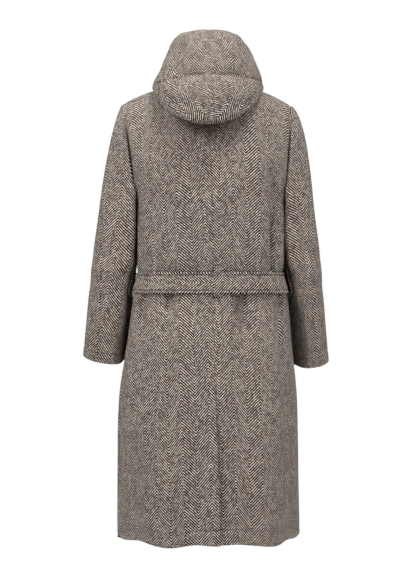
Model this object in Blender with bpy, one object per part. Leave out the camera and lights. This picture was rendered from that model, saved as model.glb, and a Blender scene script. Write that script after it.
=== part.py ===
"""A long hooded wool coat with a tied belt, filled out as if worn and hollow inside.

The back of the coat faces -Y, its front faces +Y and the wearer's right is +X. The origin is the base of
the neck, where the wearer's shoulders hold the coat. Every panel is a grid of points on a form worked out
from the tables below, with the cloth's thickness added towards the inside. Each back and front runs from
neck to hem in one, and is divided under the belt into a bodice and a skirt. Sizes are in millimetres and
angles in degrees; MM turns the finished points into metres.
"""

from collections import namedtuple

import bpy
import numpy as np

MM = 0.001

# Cloth and seams
WALL = 2.5
SEAM_GAP = 0.3
HALF_GAP = SEAM_GAP / 2
EDGE_SHARE = 0.0008
SLOPE_STEP = 0.001
SHARP_EDGE = 50

# Heights, from the base of the neck
HEM = -1142
VENT_TOP = -655
LOOP_FOOT = -527
BELT_FOOT = -517
BELT_MIDDLE = -492
BELT_TOP = -467
LOOP_TOP = -450
CHEST = -285

LEFT, RIGHT = -1, 1
BACK, FRONT = "back", "front"
BODICE, SKIRT = "bodice", "skirt"
SIDES = {"left": LEFT, "right": RIGHT}

# The body from hem to chest: a squared oval at each height. Shift moves its middle towards +X, the side seam
# runs at seam_angle from the middle of the back, and the centre-back seam at centre_angle.
Section = namedtuple("Section", "name height half_width back front shift seam_angle centre_angle")
BODY = (
    Section("hem", HEM, 233, 160, 156, 3, 70, 6.6),
    Section("calf", -960, 233, 157, 153, 2, 71, 5.4),
    Section("knee", -800, 229, 151, 148, 2, 73, 4.2),
    Section("seat", -665, 216, 143, 140, 3, 76, 3.2),
    Section("hip", -565, 205, 130, 130, 5, 79, 2.6),
    Section("belt foot", BELT_FOOT, 199, 118, 121, 6, 80, 2.3),
    Section("belt top", BELT_TOP, 188, 112, 116, 6, 81, 2.1),
    Section("blouse", -434, 190, 123, 125, 7, 82, 2.0),
    Section("ribs", -370, 190, 123, 126, 7, 83, 1.8),
    Section("chest", CHEST, 190, 124, 126, 7, 84, 1.5),
)
BODY_SQUARENESS = 2.5

# Grid rows up the body: each span is cut into equal cells
Span = namedtuple("Span", "foot top cells")
ROW_SPANS = (
    Span(HEM, VENT_TOP, 8),
    Span(VENT_TOP, LOOP_FOOT, 4),
    Span(LOOP_FOOT, BELT_FOOT, 1),
    Span(BELT_FOOT, BELT_MIDDLE, 1),
    Span(BELT_MIDDLE, BELT_TOP, 1),
    Span(BELT_TOP, LOOP_TOP, 2),
    Span(LOOP_TOP, CHEST, 6),
)
UPPER_CELLS = 9

# Grid columns of a half panel: from its centre to the neck point, then along the shoulder
NECK_CELLS = 5
SHOULDER_CELLS = 5
PANEL_CELLS = NECK_CELLS + SHOULDER_CELLS
NECK_SHARE = NECK_CELLS / PANEL_CELLS
OVERLAP_CELLS = 2
FRONT_TUCK = 3.3
FRONT_TUCK_FADE = 1.5

# Folds of the body: ridges push out and troughs push in, round the body at angle and between foot and top
Fold = namedtuple("Fold", "name angle spread push foot top")
FOLDS = (
    Fold("ridge by the right armhole", 40, 7, 4, -455, -190),
    Fold("trough by the right armhole", 51, 6, -7, -458, -200),
    Fold("ridge by the left armhole", -55, 8, 4, -455, -190),
    Fold("trough left of the spine", -30, 8, -3, -458, -230),
    Fold("skirt ridge, left back", -24, 11, 8, -1300, -545),
    Fold("skirt trough, left of the vent", -9, 7, -3, -1300, -600),
    Fold("skirt trough, right of the vent", 17, 7, -6, -1200, -545),
    Fold("skirt ridge, right back", 39, 11, 9, -1300, -560),
    Fold("skirt trough, left side", -47, 9, -6, -1300, -530),
    Fold("skirt trough, right side", 54, 7, -5, -1250, -530),
    Fold("skirt ridge, left front", -122, 12, 8, -1300, -550),
    Fold("skirt trough, left front", -143, 10, -6, -1300, -560),
    Fold("skirt ridge, right front", 128, 12, 8, -1300, -550),
    Fold("skirt trough, right front", 146, 9, -6, -1300, -560),
    Fold("bodice ridge, left front", -132, 10, 4, -455, -230),
    Fold("bodice ridge, right front", 136, 10, 4, -455, -230),
)
FOLD_FADE = 110
HEM_DROOP = 0.7
HEM_DROOP_REACH = 120

# Neckline and shoulder seam
NECK_HALF = 92
NECK_SIDE_Y, NECK_SIDE_Z = 8, 14
NECK_BACK_REACH, NECK_BACK_Z = 70, -10
NECK_FRONT_REACH, NECK_FRONT_Z = 84, -58
NECK_DIP_POWER = 2
NECK_PARTING = 0.25
FRONT_EDGE_TURN = 12
Tip = namedtuple("Tip", "x y z")
SHOULDER_TIP = {LEFT: Tip(219, 4, -24), RIGHT: Tip(215, 4, -30)}
SHOULDER_BOW = 8

# How each column of the bodice leaves the chest line (start) and reaches the top (end): pull in Y and in Z
Pull = namedtuple("Pull", "start_y start_z end_y end_z")
PULL_CENTRE = Pull(0, 330, 100, 220)
PULL_SHOULDER = Pull(-40, 480, 300, -20)
PULL_CENTRE_FRONT = Pull(0, 300, 70, 230)
ARMHOLE_PULL_POWER = 3

# Armholes: an upright loop from the shoulder tip to the underarm, hollowed into back and front
ARMHOLE_BACK_REACH = 72
ARMHOLE_FRONT_REACH = 66

# Sleeves: rings from the upper arm to the cuff. Outer is the reach from the coat's middle, clear the gap to
# the body's side, back and front the reach in Y, and top_seam the turn of the outside seam, from outwards
# (0) towards the back (90). Wrap draws the inner side round the body's front, about WRAP_TURN.
Ring = namedtuple("Ring", "name height outer clear back front top_seam wrap")
SLEEVE = (
    Ring("upper arm", -330, 284, 3.0, -58, 92, 45, 2),
    Ring("elbow", -410, 294, 5.0, -57, 92, 60, 8),
    Ring("belt", -480, 301, 19.0, -52, 92, 69, 26),
    Ring("forearm", -560, 309, 11.0, -47, 92, 74, 22),
    Ring("cuff", -695, 319, 7.0, -32, 95, 76, 12),
)
WRAP_TURN, WRAP_SPREAD = 236, 42
SLEEVE_SQUARENESS = 2.3
SLEEVE_SKEW = 0.14
SLEEVE_FOLD_INSIDE = 0.6
SLEEVE_TILT_OUT = 0.18
SLEEVE_TILT_BACK = 0.17
ARMHOLE_TOP_SEAM = 12
UNDER_SEAM = 200
CAP_CELLS = 8
SLEEVE_CELLS = 9
SLEEVE_COLUMNS = {BACK: 8, FRONT: 8}
# The left sleeve swings out a little more and hangs a little higher than the right one, from a flatter cap,
# and wraps less round the body
Hang = namedtuple("Hang", "swing_top swing_cuff drop cap_reach wrap_share")
SLEEVE_HANG = {LEFT: Hang(3, 7, 9, 0.68, 0.6), RIGHT: Hang(-4, -4, -4, 1.0, 1.0)}
# How the sleeve leaves the armhole: outwards, to its middle in Y, and down
CAP_TOP = (135, 0, -75)
CAP_UNDER = (4, 0, -45)
CAP_SIDE = (10, 30, -90)
CAP_LANDING = 0.9
CAP_LANDING_STEP = 10
# Folds of the sleeves, by turn and height; slant lifts a fold's height with its turn
SleeveFold = namedtuple("SleeveFold", "name turn turn_spread height height_spread slant push")
SLEEVE_FOLDS = (
    SleeveFold("elbow trough", 100, 60, -405, 16, 0.25, -5),
    SleeveFold("elbow ridge", 90, 55, -440, 18, 0.25, 4),
    SleeveFold("forearm trough", 70, 60, -520, 20, -0.2, -3),
    SleeveFold("inner elbow trough", 280, 60, -430, 18, -0.2, -5),
)

# Hood: rows from the neck seam, round the roll that slouches over the back neck, and up to the crest seam.
# Each row runs from the middle of the back past its side to the face opening. Dip says how late it sinks
# there, and lean moves the row towards +X.
HoodRow = namedtuple("HoodRow", "name back_y back_z side_x side_y side_z front_x front_y front_z dip lean")
HOOD = (
    HoodRow("neck seam", -62, -10, 92, 8, 14, 19, 90, -55, 2.0, 0),
    HoodRow("under the roll", -104, -30, 114, 2, 28, 20, 96, -41, 3.6, 0),
    HoodRow("inside of the roll", -140, -84, 133, -8, 17, 23, 101, -28, 3.6, 0),
    HoodRow("foot of the roll", -153, -98, 140, -12, 12, 26, 104, -16, 3.8, 0),
    HoodRow("low on the roll", -167, -84, 145, -15, 12, 30, 107, -4, 3.6, 0),
    HoodRow("bulge of the roll", -175, -44, 148, -17, 15, 36, 110, 10, 3.4, 0),
    HoodRow("top of the roll", -167, -6, 145, -18, 22, 45, 112, 26, 3.2, 0),
    HoodRow("crease", -146, 26, 137, -18, 31, 55, 113, 44, 3.0, 1),
    HoodRow("above the crease", -151, 52, 125, -18, 57, 66, 113, 66, 2.6, 4),
    HoodRow("upper back", -143, 92, 112, -18, 91, 74, 111, 94, 2.2, 4),
    HoodRow("crown", -121, 130, 94, -18, 126, 74, 107, 119, 2.2, 1),
    HoodRow("crown edge", -86, 153, 64, -18, 151, 54, 104, 138, 2.2, 0),
    HoodRow("crest", -52, 161, 0, -18, 161, 0, 102, 150, 2.2, 0),
)
HOOD_SQUARENESS = 2.2
HOOD_RISE_POWER = 1.5
HOOD_CELLS_PER_ROW = 2
HOOD_FRONT_CELLS = NECK_CELLS - 1
HOOD_MIDDLE = (HALF_GAP, 0, 60)
SEAM_CORNER = 0.3

# Belt, its loops and the tie in front
BELT_CLEAR = 0.5
BELT_WALL = 4.0
BELT_END_CELL = 1
LOOP_WALL = 2.5
LOOP_COLUMNS = 3
LOOP_SEAT = 0.4
BACK_LOOP_WIDTH = 22
BACK_LOOP_FROM_SEAM = 2
SIDE_LOOP_HALF_CELLS = 0.3
SIDE_LOOP_STAND_OFF = 8
BACK_LOOP_STAND_OFF = 0.5
LOOP_SHOULDER = 0.75
KNOT_HALF_HEIGHT = 31
KNOT_DEPTH = 22
KNOT_SQUARENESS = 3.8
KNOT_TURNS, KNOT_RINGS = 24, 13
TAIL_WIDTH = 46
TAIL_LENGTH = 290
TAIL_CLEAR = 0.7
TAIL_DROP = 0.7
TAIL_LIFT = 5
TAIL_BELLY = (0.6, 1, 0.8)
TAIL_EDGES = (-0.5, 0, 0.5)
TAIL_PARTING = 1.5
TAIL_SLOPE_STEP = 0.5
TAIL_SPLAY = {LEFT: 26, RIGHT: 32}
TAIL_CELLS = 12

# Vent: the left back lies over a strip of the right back
VENT_LIFT = 4.0
VENT_LIFT_REACH = 0.28
VENT_LIFT_FADE = 60
UNDERLAP_SHARE = 0.2
UNDERLAP_CELLS = 2
UNDERLAP_CLEAR = 0.6

WOOL_COLOUR = (0.227, 0.191, 0.165, 1)
WOOL_SHADES = {"body": 1.0, "sleeve": 0.94, "hood": 1.12, "belt": 0.98, "loop": 0.9}
WOOL_ROUGHNESS = 0.92


def curve_through(knots, values, at):
    """Read a smooth curve through a table's points: cubic pieces whose slopes never overshoot."""
    knots = np.asarray(knots, float)
    values = np.asarray(values, float)
    gaps = np.diff(knots)
    slopes = np.diff(values) / gaps
    before, after = slopes[:-1], slopes[1:]
    same_way = before * after > 0
    total = np.where(same_way, before + after, 1)
    inner = np.where(same_way, 2 * before * after / total, 0)
    tangents = np.concatenate([slopes[:1], inner, slopes[-1:]])
    piece = np.clip(np.searchsorted(knots, at) - 1, 0, len(gaps) - 1)
    t = (at - knots[piece]) / gaps[piece]
    start, end = values[piece], values[piece + 1]
    return hermite(start, end, tangents[piece] * gaps[piece], tangents[piece + 1] * gaps[piece], t)


def hermite(start, end, leaving, arriving, t):
    """A cubic from start to end that leaves and arrives with the given pulls."""
    return (
        (2 * t**3 - 3 * t**2 + 1) * start
        + (t**3 - 2 * t**2 + t) * leaving
        + (3 * t**2 - 2 * t**3) * end
        + (t**3 - t**2) * arriving
    )


def column(table, name):
    """One named column of a table, as a list."""
    return [getattr(row, name) for row in table]


def read(table, name, height):
    """One column of a table of heights, read smoothly at any height."""
    rows = sorted(table, key=lambda row: row.height)
    return curve_through(column(rows, "height"), column(rows, name), np.asarray(height, float))


def smooth_step(x):
    """0 below 0, 1 above 1 and an even slope between."""
    x = np.clip(x, 0, 1)
    return x * x * (3 - 2 * x)


def roundness(sine, cosine, squareness):
    """How far a squared oval stands out from the plain one at an angle."""
    return (np.abs(sine) ** squareness + np.abs(cosine) ** squareness) ** (-1 / squareness)


def points(x, y, z):
    """Stack three arrays, stretched to one shape, as points."""
    return np.stack(np.broadcast_arrays(x, y, z), axis=-1).astype(float)


def unit(vectors):
    """The same directions with length 1."""
    return vectors / np.linalg.norm(vectors, axis=-1, keepdims=True)


def fold_push(angle, height):
    """How far the folds push the body's cloth out at an angle and a height."""
    push = 0
    for fold in FOLDS:
        off = (angle - fold.angle + 180) % 360 - 180
        rise = smooth_step((height - fold.foot) / FOLD_FADE)
        fall = smooth_step((fold.top - height) / FOLD_FADE)
        push = push + fold.push * np.exp(-((off / fold.spread) ** 2)) * rise * fall
    return push


def torso(angle, height):
    """The body's outer surface below the chest line; angle 0 is the middle of the back, 90 is +X."""
    turn = np.radians(angle)
    sine, cosine = np.sin(turn), np.cos(turn)
    stand_out = roundness(sine, cosine, BODY_SQUARENESS)
    push = fold_push(angle, height)
    depth = np.where(cosine > 0, read(BODY, "back", height), read(BODY, "front", height))
    x = read(BODY, "shift", height) + (read(BODY, "half_width", height) + push) * stand_out * sine
    y = -(depth + push) * stand_out * cosine
    near_hem = 1 - smooth_step((height - HEM) / HEM_DROOP_REACH)
    return points(x, y, height - HEM_DROOP * push * near_hem)


def panel_angle(side, face, share, height):
    """The angle on the body of a column of a panel; share runs from the panel's centre to its side seam."""
    seam = read(BODY, "seam_angle", height)
    if face == BACK:
        centre = read(BODY, "centre_angle", height)
        return centre + share * (side * seam - centre)
    return side * (180 - share * (180 - seam))


def neckline(side, face, turn):
    """The neck seam; turn runs from 0 at the middle of the face to 90 at the neck point."""
    sine, cosine = np.sin(np.radians(turn)), np.cos(np.radians(turn))
    if face == BACK:
        y = NECK_SIDE_Y - NECK_BACK_REACH * cosine
        z = NECK_SIDE_Z + (NECK_BACK_Z - NECK_SIDE_Z) * cosine**NECK_DIP_POWER
    else:
        y = NECK_SIDE_Y + NECK_FRONT_REACH * cosine
        z = NECK_SIDE_Z + (NECK_FRONT_Z - NECK_SIDE_Z) * cosine**NECK_DIP_POWER
    return points(side * NECK_HALF * sine, y, z)


def neck_turn(face, share):
    """The neckline's turn for a column; the front's first cell ends where the hood begins."""
    first = FRONT_EDGE_TURN if face == FRONT else 90 / NECK_CELLS
    knots = [0, 1 / PANEL_CELLS, NECK_SHARE]
    return np.sign(share) * np.interp(np.abs(share), knots, [0, first, 90])


def shoulder_tip(side):
    """The outer end of a shoulder seam."""
    tip = SHOULDER_TIP[side]
    return points(side * tip.x, tip.y, tip.z)


def top_line(side, face, share):
    """The top edge of a panel: the neckline, then the shoulder seam out to its tip."""
    neck = neckline(side, face, neck_turn(face, share))
    neck_point = points(side * NECK_HALF, NECK_SIDE_Y, NECK_SIDE_Z)
    tip = shoulder_tip(side)
    along = ((share - NECK_SHARE) / (1 - NECK_SHARE))[..., None]
    bow = points(0, 0, SHOULDER_BOW) * np.sin(np.pi * np.clip(along, 0, 1))
    shoulder = neck_point + (tip - neck_point) * along + bow
    return np.where(along > 0, shoulder, neck)


def armhole(side, turn):
    """The armhole seam: turn 0 is the shoulder tip, 90 the back, 180 the underarm and 270 the front."""
    turn = np.asarray(turn, float)
    sine, cosine = np.sin(np.radians(turn)), np.cos(np.radians(turn))
    under = torso(np.array(side * BODY[-1].seam_angle), np.array(float(CHEST)))
    tip = shoulder_tip(side)
    up = (1 + cosine)[..., None] / 2
    reach = np.where(sine > 0, ARMHOLE_BACK_REACH, ARMHOLE_FRONT_REACH)
    return under + (tip - under) * up - points(0, 1, 0) * (reach * sine)[..., None]


def armhole_inward(side, turn):
    """From a point of the armhole seam towards the middle of the armhole."""
    middle = (armhole(side, np.array(0.0)) + armhole(side, np.array(180.0))) / 2
    inward = middle - armhole(side, turn)
    inward[..., 0] = 0
    return unit(inward)


def bodice(side, face, share, rise):
    """A panel above the chest: columns that rise from it to the top line, hollowed at the armhole."""
    facing = 1 if face == BACK else -1
    centre = PULL_CENTRE if face == BACK else PULL_CENTRE_FRONT
    weight = smooth_step(np.abs(share) / NECK_SHARE)

    def pull(name):
        return getattr(centre, name) + (getattr(PULL_SHOULDER, name) - getattr(centre, name)) * weight

    chest = torso(panel_angle(side, face, share, np.array(float(CHEST))), np.array(float(CHEST)))
    leaving = points(0, facing * pull("start_y"), pull("start_z"))
    arriving = points(0, facing * pull("end_y"), pull("end_z"))
    return hermite(chest, top_line(side, face, share), leaving, arriving, rise[..., None])


def panel(side, face, share):
    """A half panel's outer points, rows from the hem to the top, at the given columns."""
    share = np.asarray(share, float)
    heights = row_heights()[:, None]
    rises = (np.arange(1, UPPER_CELLS + 1) / UPPER_CELLS)[:, None] * (1 - EDGE_SHARE / 2)
    below = torso(panel_angle(side, face, share, heights), heights)
    above = bodice(side, face, share + 0 * rises, rises)
    edge = bodice(side, face, 1 + 0 * rises, rises)
    turn = 180 * (1 - rises) if face == BACK else 180 * (1 + rises)
    hollow = np.clip(share, 0, None) ** ARMHOLE_PULL_POWER
    above = above + hollow[..., None] * (armhole(side, turn) - edge)
    return np.concatenate([below, above])


def row_heights():
    """Heights of the body's grid rows, from the hem to the chest line."""
    spans = [np.linspace(span.foot, span.top, span.cells, endpoint=False) for span in ROW_SPANS]
    return np.concatenate([*spans, [CHEST]])


def row_of(height):
    """The number of the grid row at a height."""
    return int(np.argmin(np.abs(row_heights() - height)))


def normals(make, share):
    """Outward directions of a surface made from columns, level with its points."""
    across = make(share + SLOPE_STEP) - make(share - SLOPE_STEP)
    upwards = np.gradient(make(share), axis=0)
    return unit(np.cross(across, upwards))


def body_panel(side, face, share):
    """Outer points of a half panel and the directions in which its wall thickens."""
    share = np.asarray(share, float)

    def make(columns):
        return panel(side, face, columns)

    outer = make(share)
    outward = normals(make, share) * (side if face == BACK else -side)
    return outer, -outward


def finish_top(side, face, share, outer, inward):
    """Part the top edge and the armhole edge of a panel from their neighbours, and mitre their walls."""
    chest_row = len(row_heights()) - 1
    rises = np.arange(UPPER_CELLS + 1) / UPPER_CELLS
    turn = 180 * (1 - rises) if face == BACK else 180 * (1 + rises)
    shoulder = share > NECK_SHARE + EDGE_SHARE
    facing = -1 if face == BACK else 1
    tip = SHOULDER_TIP[side]
    slope = unit(points(-side * (NECK_SIDE_Z - tip.z), 0, -(tip.x - NECK_HALF)))
    neck_inward = np.array([0, NECK_SIDE_Y, 0]) - outer[-1]
    neck_inward[:, 2] = 0
    inward[-1] = np.where(shoulder[:, None], slope, unit(neck_inward))
    neck_point = np.isclose(share, NECK_SHARE)
    inward[-1][neck_point] = unit(slope + unit(neck_inward))[neck_point]
    outer[-1, :, 1] += np.where(shoulder | neck_point, facing * HALF_GAP, 0)
    outer[-1, :, 2] -= np.where(shoulder, 0, NECK_PARTING)
    inward[chest_row:, -1] = armhole_inward(side, turn)
    inward[-1, -1] = unit(slope + armhole_inward(side, np.array(0.0)))
    outer[chest_row:, -1, 0] -= side * HALF_GAP
    outer[chest_row:, -1, 2] -= HALF_GAP


def panel_shares(overlap=0):
    """Column places of a half panel, from its centre, or its overlap past the centre, to the side seam."""
    share = np.arange(-overlap, PANEL_CELLS + 1) / PANEL_CELLS
    share[-1] -= EDGE_SHARE
    if not overlap:
        share[0] += EDGE_SHARE
    return share


def back_half(side):
    """The wall of one back panel; the left one lifts along the vent to lie over the right one."""
    share = panel_shares()
    outer, inward = body_panel(side, BACK, share)
    if side == LEFT:
        outer = outer - inward * vent_lift(share)[..., None]
    finish_top(side, BACK, share, outer, inward)
    return outer, outer + inward * WALL


def vent_lift(share):
    """How far the left back stands off the body's form beside the vent, for each row and column."""
    down = smooth_step((VENT_TOP - row_heights()) / VENT_LIFT_FADE)
    down = np.concatenate([down, np.zeros(UPPER_CELLS)])
    return VENT_LIFT * down[:, None] * (1 - smooth_step(share / VENT_LIFT_REACH))


def vent_underlap():
    """The strip beside the right back's vent edge, under the left back."""
    share = np.linspace(EDGE_SHARE, UNDERLAP_SHARE, UNDERLAP_CELLS + 1)
    outer, inward = body_panel(LEFT, BACK, share)
    sink = np.maximum(0, WALL + UNDERLAP_CLEAR - vent_lift(share))
    rows = slice(0, row_of(VENT_TOP) + 1)
    outer = (outer + inward * sink[..., None])[rows]
    return outer, outer + inward[rows] * WALL


def front_half(side):
    """The wall of one front panel; the right one sinks under the left one where they overlap.

    Both fronts list their columns from +X to -X, so that their cells are cut along the same diagonals.
    """
    share = panel_shares(OVERLAP_CELLS)
    outer, inward = body_panel(side, FRONT, share)
    if side == RIGHT:
        tuck = 1 - smooth_step((share * PANEL_CELLS - OVERLAP_CELLS) / FRONT_TUCK_FADE)
        outer = outer + inward * (FRONT_TUCK * tuck)[:, None]
    finish_top(side, FRONT, share, outer, inward)
    inner = outer + inward * WALL
    return outer[:, :: -side], inner[:, :: -side]


def divided(outer, inner):
    """A back's or a front's wall in two parts, divided under the belt where it doesn't show."""
    cut = row_of(BELT_MIDDLE)
    bodice_part = [grid[cut:].copy() for grid in (outer, inner)]
    skirt_part = [grid[: cut + 1].copy() for grid in (outer, inner)]
    for upper, lower in zip(bodice_part, skirt_part):
        upper[0, :, 2] += HALF_GAP
        lower[-1, :, 2] -= HALF_GAP
    return {BODICE: bodice_part, SKIRT: skirt_part}


def sleeve_fold_push(turn, height):
    """How far the sleeve's folds push its cloth out."""
    push = 0
    for fold in SLEEVE_FOLDS:
        off = (turn - fold.turn + 180) % 360 - 180
        level = (height - fold.height - fold.slant * off) / fold.height_spread
        push = push + fold.push * np.exp(-((off / fold.turn_spread) ** 2) - level**2)
    return push


def sleeve_ring(side, turn, height):
    """The sleeve below the cap: squared ovals beside the body, tilted with the arm."""
    hang = SLEEVE_HANG[side]
    reached = smooth_step((SLEEVE[0].height - height) / (SLEEVE[0].height - SLEEVE[-1].height))
    swing = hang.swing_top + (hang.swing_cuff - hang.swing_top) * reached
    outer = read(SLEEVE, "outer", height) + swing
    body_side = read(BODY, "half_width", height) + side * read(BODY, "shift", height)
    inner = body_side + read(SLEEVE, "clear", height)
    back, front = read(SLEEVE, "back", height), read(SLEEVE, "front", height)
    sine, cosine = np.sin(np.radians(turn)), np.cos(np.radians(turn))
    stand_out = roundness(sine, cosine, SLEEVE_SQUARENESS)
    push = sleeve_fold_push(turn, height) * np.clip(cosine + SLEEVE_FOLD_INSIDE, 0, 1)
    off_x = ((outer - inner) / 2 + push) * stand_out * cosine
    off_y = -((front - back) / 2 + push) * stand_out * sine
    off_wrap = (turn - WRAP_TURN + 180) % 360 - 180
    wrap = read(SLEEVE, "wrap", height) * hang.wrap_share * np.exp(-((off_wrap / WRAP_SPREAD) ** 2))
    x = (outer + inner) / 2 + off_x - SLEEVE_SKEW * np.maximum(off_y, 0) - wrap
    z = height + hang.drop * reached + SLEEVE_TILT_OUT * off_x + SLEEVE_TILT_BACK * off_y
    return points(side * x, (back + front) / 2 + off_y, z)


def sleeve_cap(side, turn, t):
    """The sleeve from the armhole seam (t=0) to the upper-arm ring (t=1)."""
    seam = armhole(side, turn)
    sine, cosine = np.sin(np.radians(turn))[..., None], np.cos(np.radians(turn))[..., None]
    up = (1 + cosine) / 2
    mirror = points(side * SLEEVE_HANG[side].cap_reach, 1, 1)
    sideways = np.array(CAP_SIDE) * np.concatenate([np.abs(sine), sine, np.abs(sine)], axis=-1)
    leaving = (up * np.array(CAP_TOP) + (1 - up) * np.array(CAP_UNDER) + sideways) * mirror
    top = np.full_like(turn, SLEEVE[0].height)
    landing = sleeve_ring(side, turn, top)
    onward = unit(sleeve_ring(side, turn, top - CAP_LANDING_STEP) - landing)
    arriving = onward * np.linalg.norm(landing - seam, axis=-1, keepdims=True) * CAP_LANDING
    return hermite(seam, landing, leaving, arriving, t[..., None])


def sleeve_half(side, face):
    """The wall of one sleeve piece, between the outside seam and the seam under the arm."""
    columns = np.linspace(0, 1, SLEEVE_COLUMNS[face] + 1)
    columns[0] += EDGE_SHARE
    columns[-1] -= EDGE_SHARE
    cap = (np.arange(CAP_CELLS) / CAP_CELLS)[:, None]
    heights = np.linspace(SLEEVE[0].height, SLEEVE[-1].height, SLEEVE_CELLS + 1)[:, None]
    cap_seam = ARMHOLE_TOP_SEAM + (SLEEVE[0].top_seam - ARMHOLE_TOP_SEAM) * cap
    arm_seam = read(SLEEVE, "top_seam", heights)

    def turns(top_seam, share):
        if face == BACK:
            return top_seam + share * (UNDER_SEAM - top_seam)
        return UNDER_SEAM + share * (360 + top_seam - UNDER_SEAM)

    def make(share):
        cap_turn = turns(cap_seam, share)
        upper = sleeve_cap(side, cap_turn, cap + 0 * cap_turn)
        arm_turn = turns(arm_seam, share)
        return np.concatenate([upper, sleeve_ring(side, arm_turn, heights + 0 * arm_turn)])

    outer = make(columns)
    inward = normals(make, columns) * -side
    inward[0] = armhole_inward(side, turns(cap_seam, columns)[0])
    outer[0, :, 0] += side * HALF_GAP
    return outer, outer + inward * WALL


def hood_rows():
    """The hood's table read at even steps between its rows, as a dictionary of columns."""
    count = (len(HOOD) - 1) * HOOD_CELLS_PER_ROW + 1
    at = np.linspace(0, len(HOOD) - 1, count)
    knots = np.arange(len(HOOD))
    return {name: curve_through(knots, column(HOOD, name), at)[:, None] for name in HoodRow._fields[1:]}


def hood_half(side):
    """The wall of one half of the hood, on grid columns that match the neckline's."""
    rows = hood_rows()
    back_turn = np.linspace(0, 90, NECK_CELLS + 1)
    front_turn = np.linspace(90, FRONT_EDGE_TURN, HOOD_FRONT_CELLS + 1)[1:]
    sine, cosine = np.sin(np.radians(back_turn)), np.cos(np.radians(back_turn))
    stand_out = roundness(sine, cosine, HOOD_SQUARENESS)
    back = points(
        rows["side_x"] * stand_out * sine,
        rows["side_y"] + (rows["back_y"] - rows["side_y"]) * stand_out * cosine,
        rows["side_z"] + (rows["back_z"] - rows["side_z"]) * cosine**HOOD_RISE_POWER,
    )
    edge_sine, edge_cosine = np.sin(np.radians(FRONT_EDGE_TURN)), np.cos(np.radians(FRONT_EDGE_TURN))
    outwards = (np.sin(np.radians(front_turn)) - edge_sine) / (1 - edge_sine)
    forward = np.cos(np.radians(front_turn)) / edge_cosine
    front = points(
        rows["front_x"] + (rows["side_x"] - rows["front_x"]) * outwards,
        rows["side_y"] + (rows["front_y"] - rows["side_y"]) * forward,
        rows["side_z"] + (rows["front_z"] - rows["side_z"]) * forward ** rows["dip"],
    )
    outer = np.concatenate([back, front], axis=1)
    seam = np.concatenate([neckline(RIGHT, BACK, back_turn), neckline(RIGHT, FRONT, front_turn)])
    outer[0] = seam + points(0, 0, NECK_PARTING)
    outer[..., 0] = np.maximum(outer[..., 0], HALF_GAP)
    along, upwards = np.gradient(outer, axis=1), np.gradient(outer, axis=0)
    outward = unit(np.cross(along, upwards))
    outward[outer[..., 0] <= HALF_GAP, 0] = 0
    corner = np.linalg.norm(outward, axis=-1) < SEAM_CORNER
    outward[corner] = (outer - np.array(HOOD_MIDDLE))[corner]
    inward = -unit(outward)
    neck_inward = np.array([0, NECK_SIDE_Y, 0]) - seam
    neck_inward[:, 2] = 0
    inward[0] = unit(neck_inward)
    mirror = points(side, 1, 1)
    lean = points(rows["lean"], 0, 0)
    return outer * mirror + lean, (outer + inward * WALL) * mirror + lean


def round_the_waist():
    """The body's outer points and directions at the belt's rows, from one side of the tie to the other."""
    rows = slice(row_of(LOOP_FOOT), row_of(LOOP_TOP) + 1)
    across = np.arange(PANEL_CELLS + 1) / PANEL_CELLS
    runs = (
        (LEFT, FRONT, across[BELT_END_CELL:]),
        (LEFT, BACK, across[::-1][1:]),
        (RIGHT, BACK, across[1:]),
        (RIGHT, FRONT, across[BELT_END_CELL:-1][::-1]),
    )
    parts = [body_panel(side, face, share) for side, face, share in runs]
    outer = np.concatenate([part[0][rows] for part in parts], axis=1)
    inward = np.concatenate([part[1][rows] for part in parts], axis=1)
    return outer, -inward


def belt():
    """The belt, made from the body's points at the waist, moved out."""
    outer, outward = round_the_waist()
    first = row_of(BELT_FOOT) - row_of(LOOP_FOOT)
    last = row_of(BELT_TOP) - row_of(LOOP_FOOT) + 1
    on_coat, outward = outer[first:last], outward[first:last]
    return on_coat + outward * (BELT_CLEAR + BELT_WALL), on_coat + outward * BELT_CLEAR


def belt_loop(centre, half_width, stand_off):
    """A belt loop on the waist's grid, centred at a column number, seated above and below the belt."""
    outer, outward = round_the_waist()
    places = np.linspace(centre - half_width, centre + half_width, LOOP_COLUMNS)
    cells = np.clip(np.floor(places).astype(int), 0, outer.shape[1] - 2)
    part = (places - cells)[:, None]

    def between(grid):
        return grid[:, cells] * (1 - part) + grid[:, cells + 1] * part

    over_belt = BELT_CLEAR + BELT_WALL + stand_off
    heights = row_heights()[row_of(LOOP_FOOT) : row_of(LOOP_TOP) + 1]
    off = np.abs(heights - BELT_MIDDLE) / ((BELT_TOP - BELT_FOOT) / 2)
    lift = np.where(off > 1 + EDGE_SHARE, over_belt * LOOP_SHOULDER, over_belt)
    lift[[0, -1]] = LOOP_SEAT
    directions = unit(between(outward))
    on_coat = between(outer) + directions * lift[:, None, None]
    return on_coat + directions * LOOP_WALL, on_coat


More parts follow.
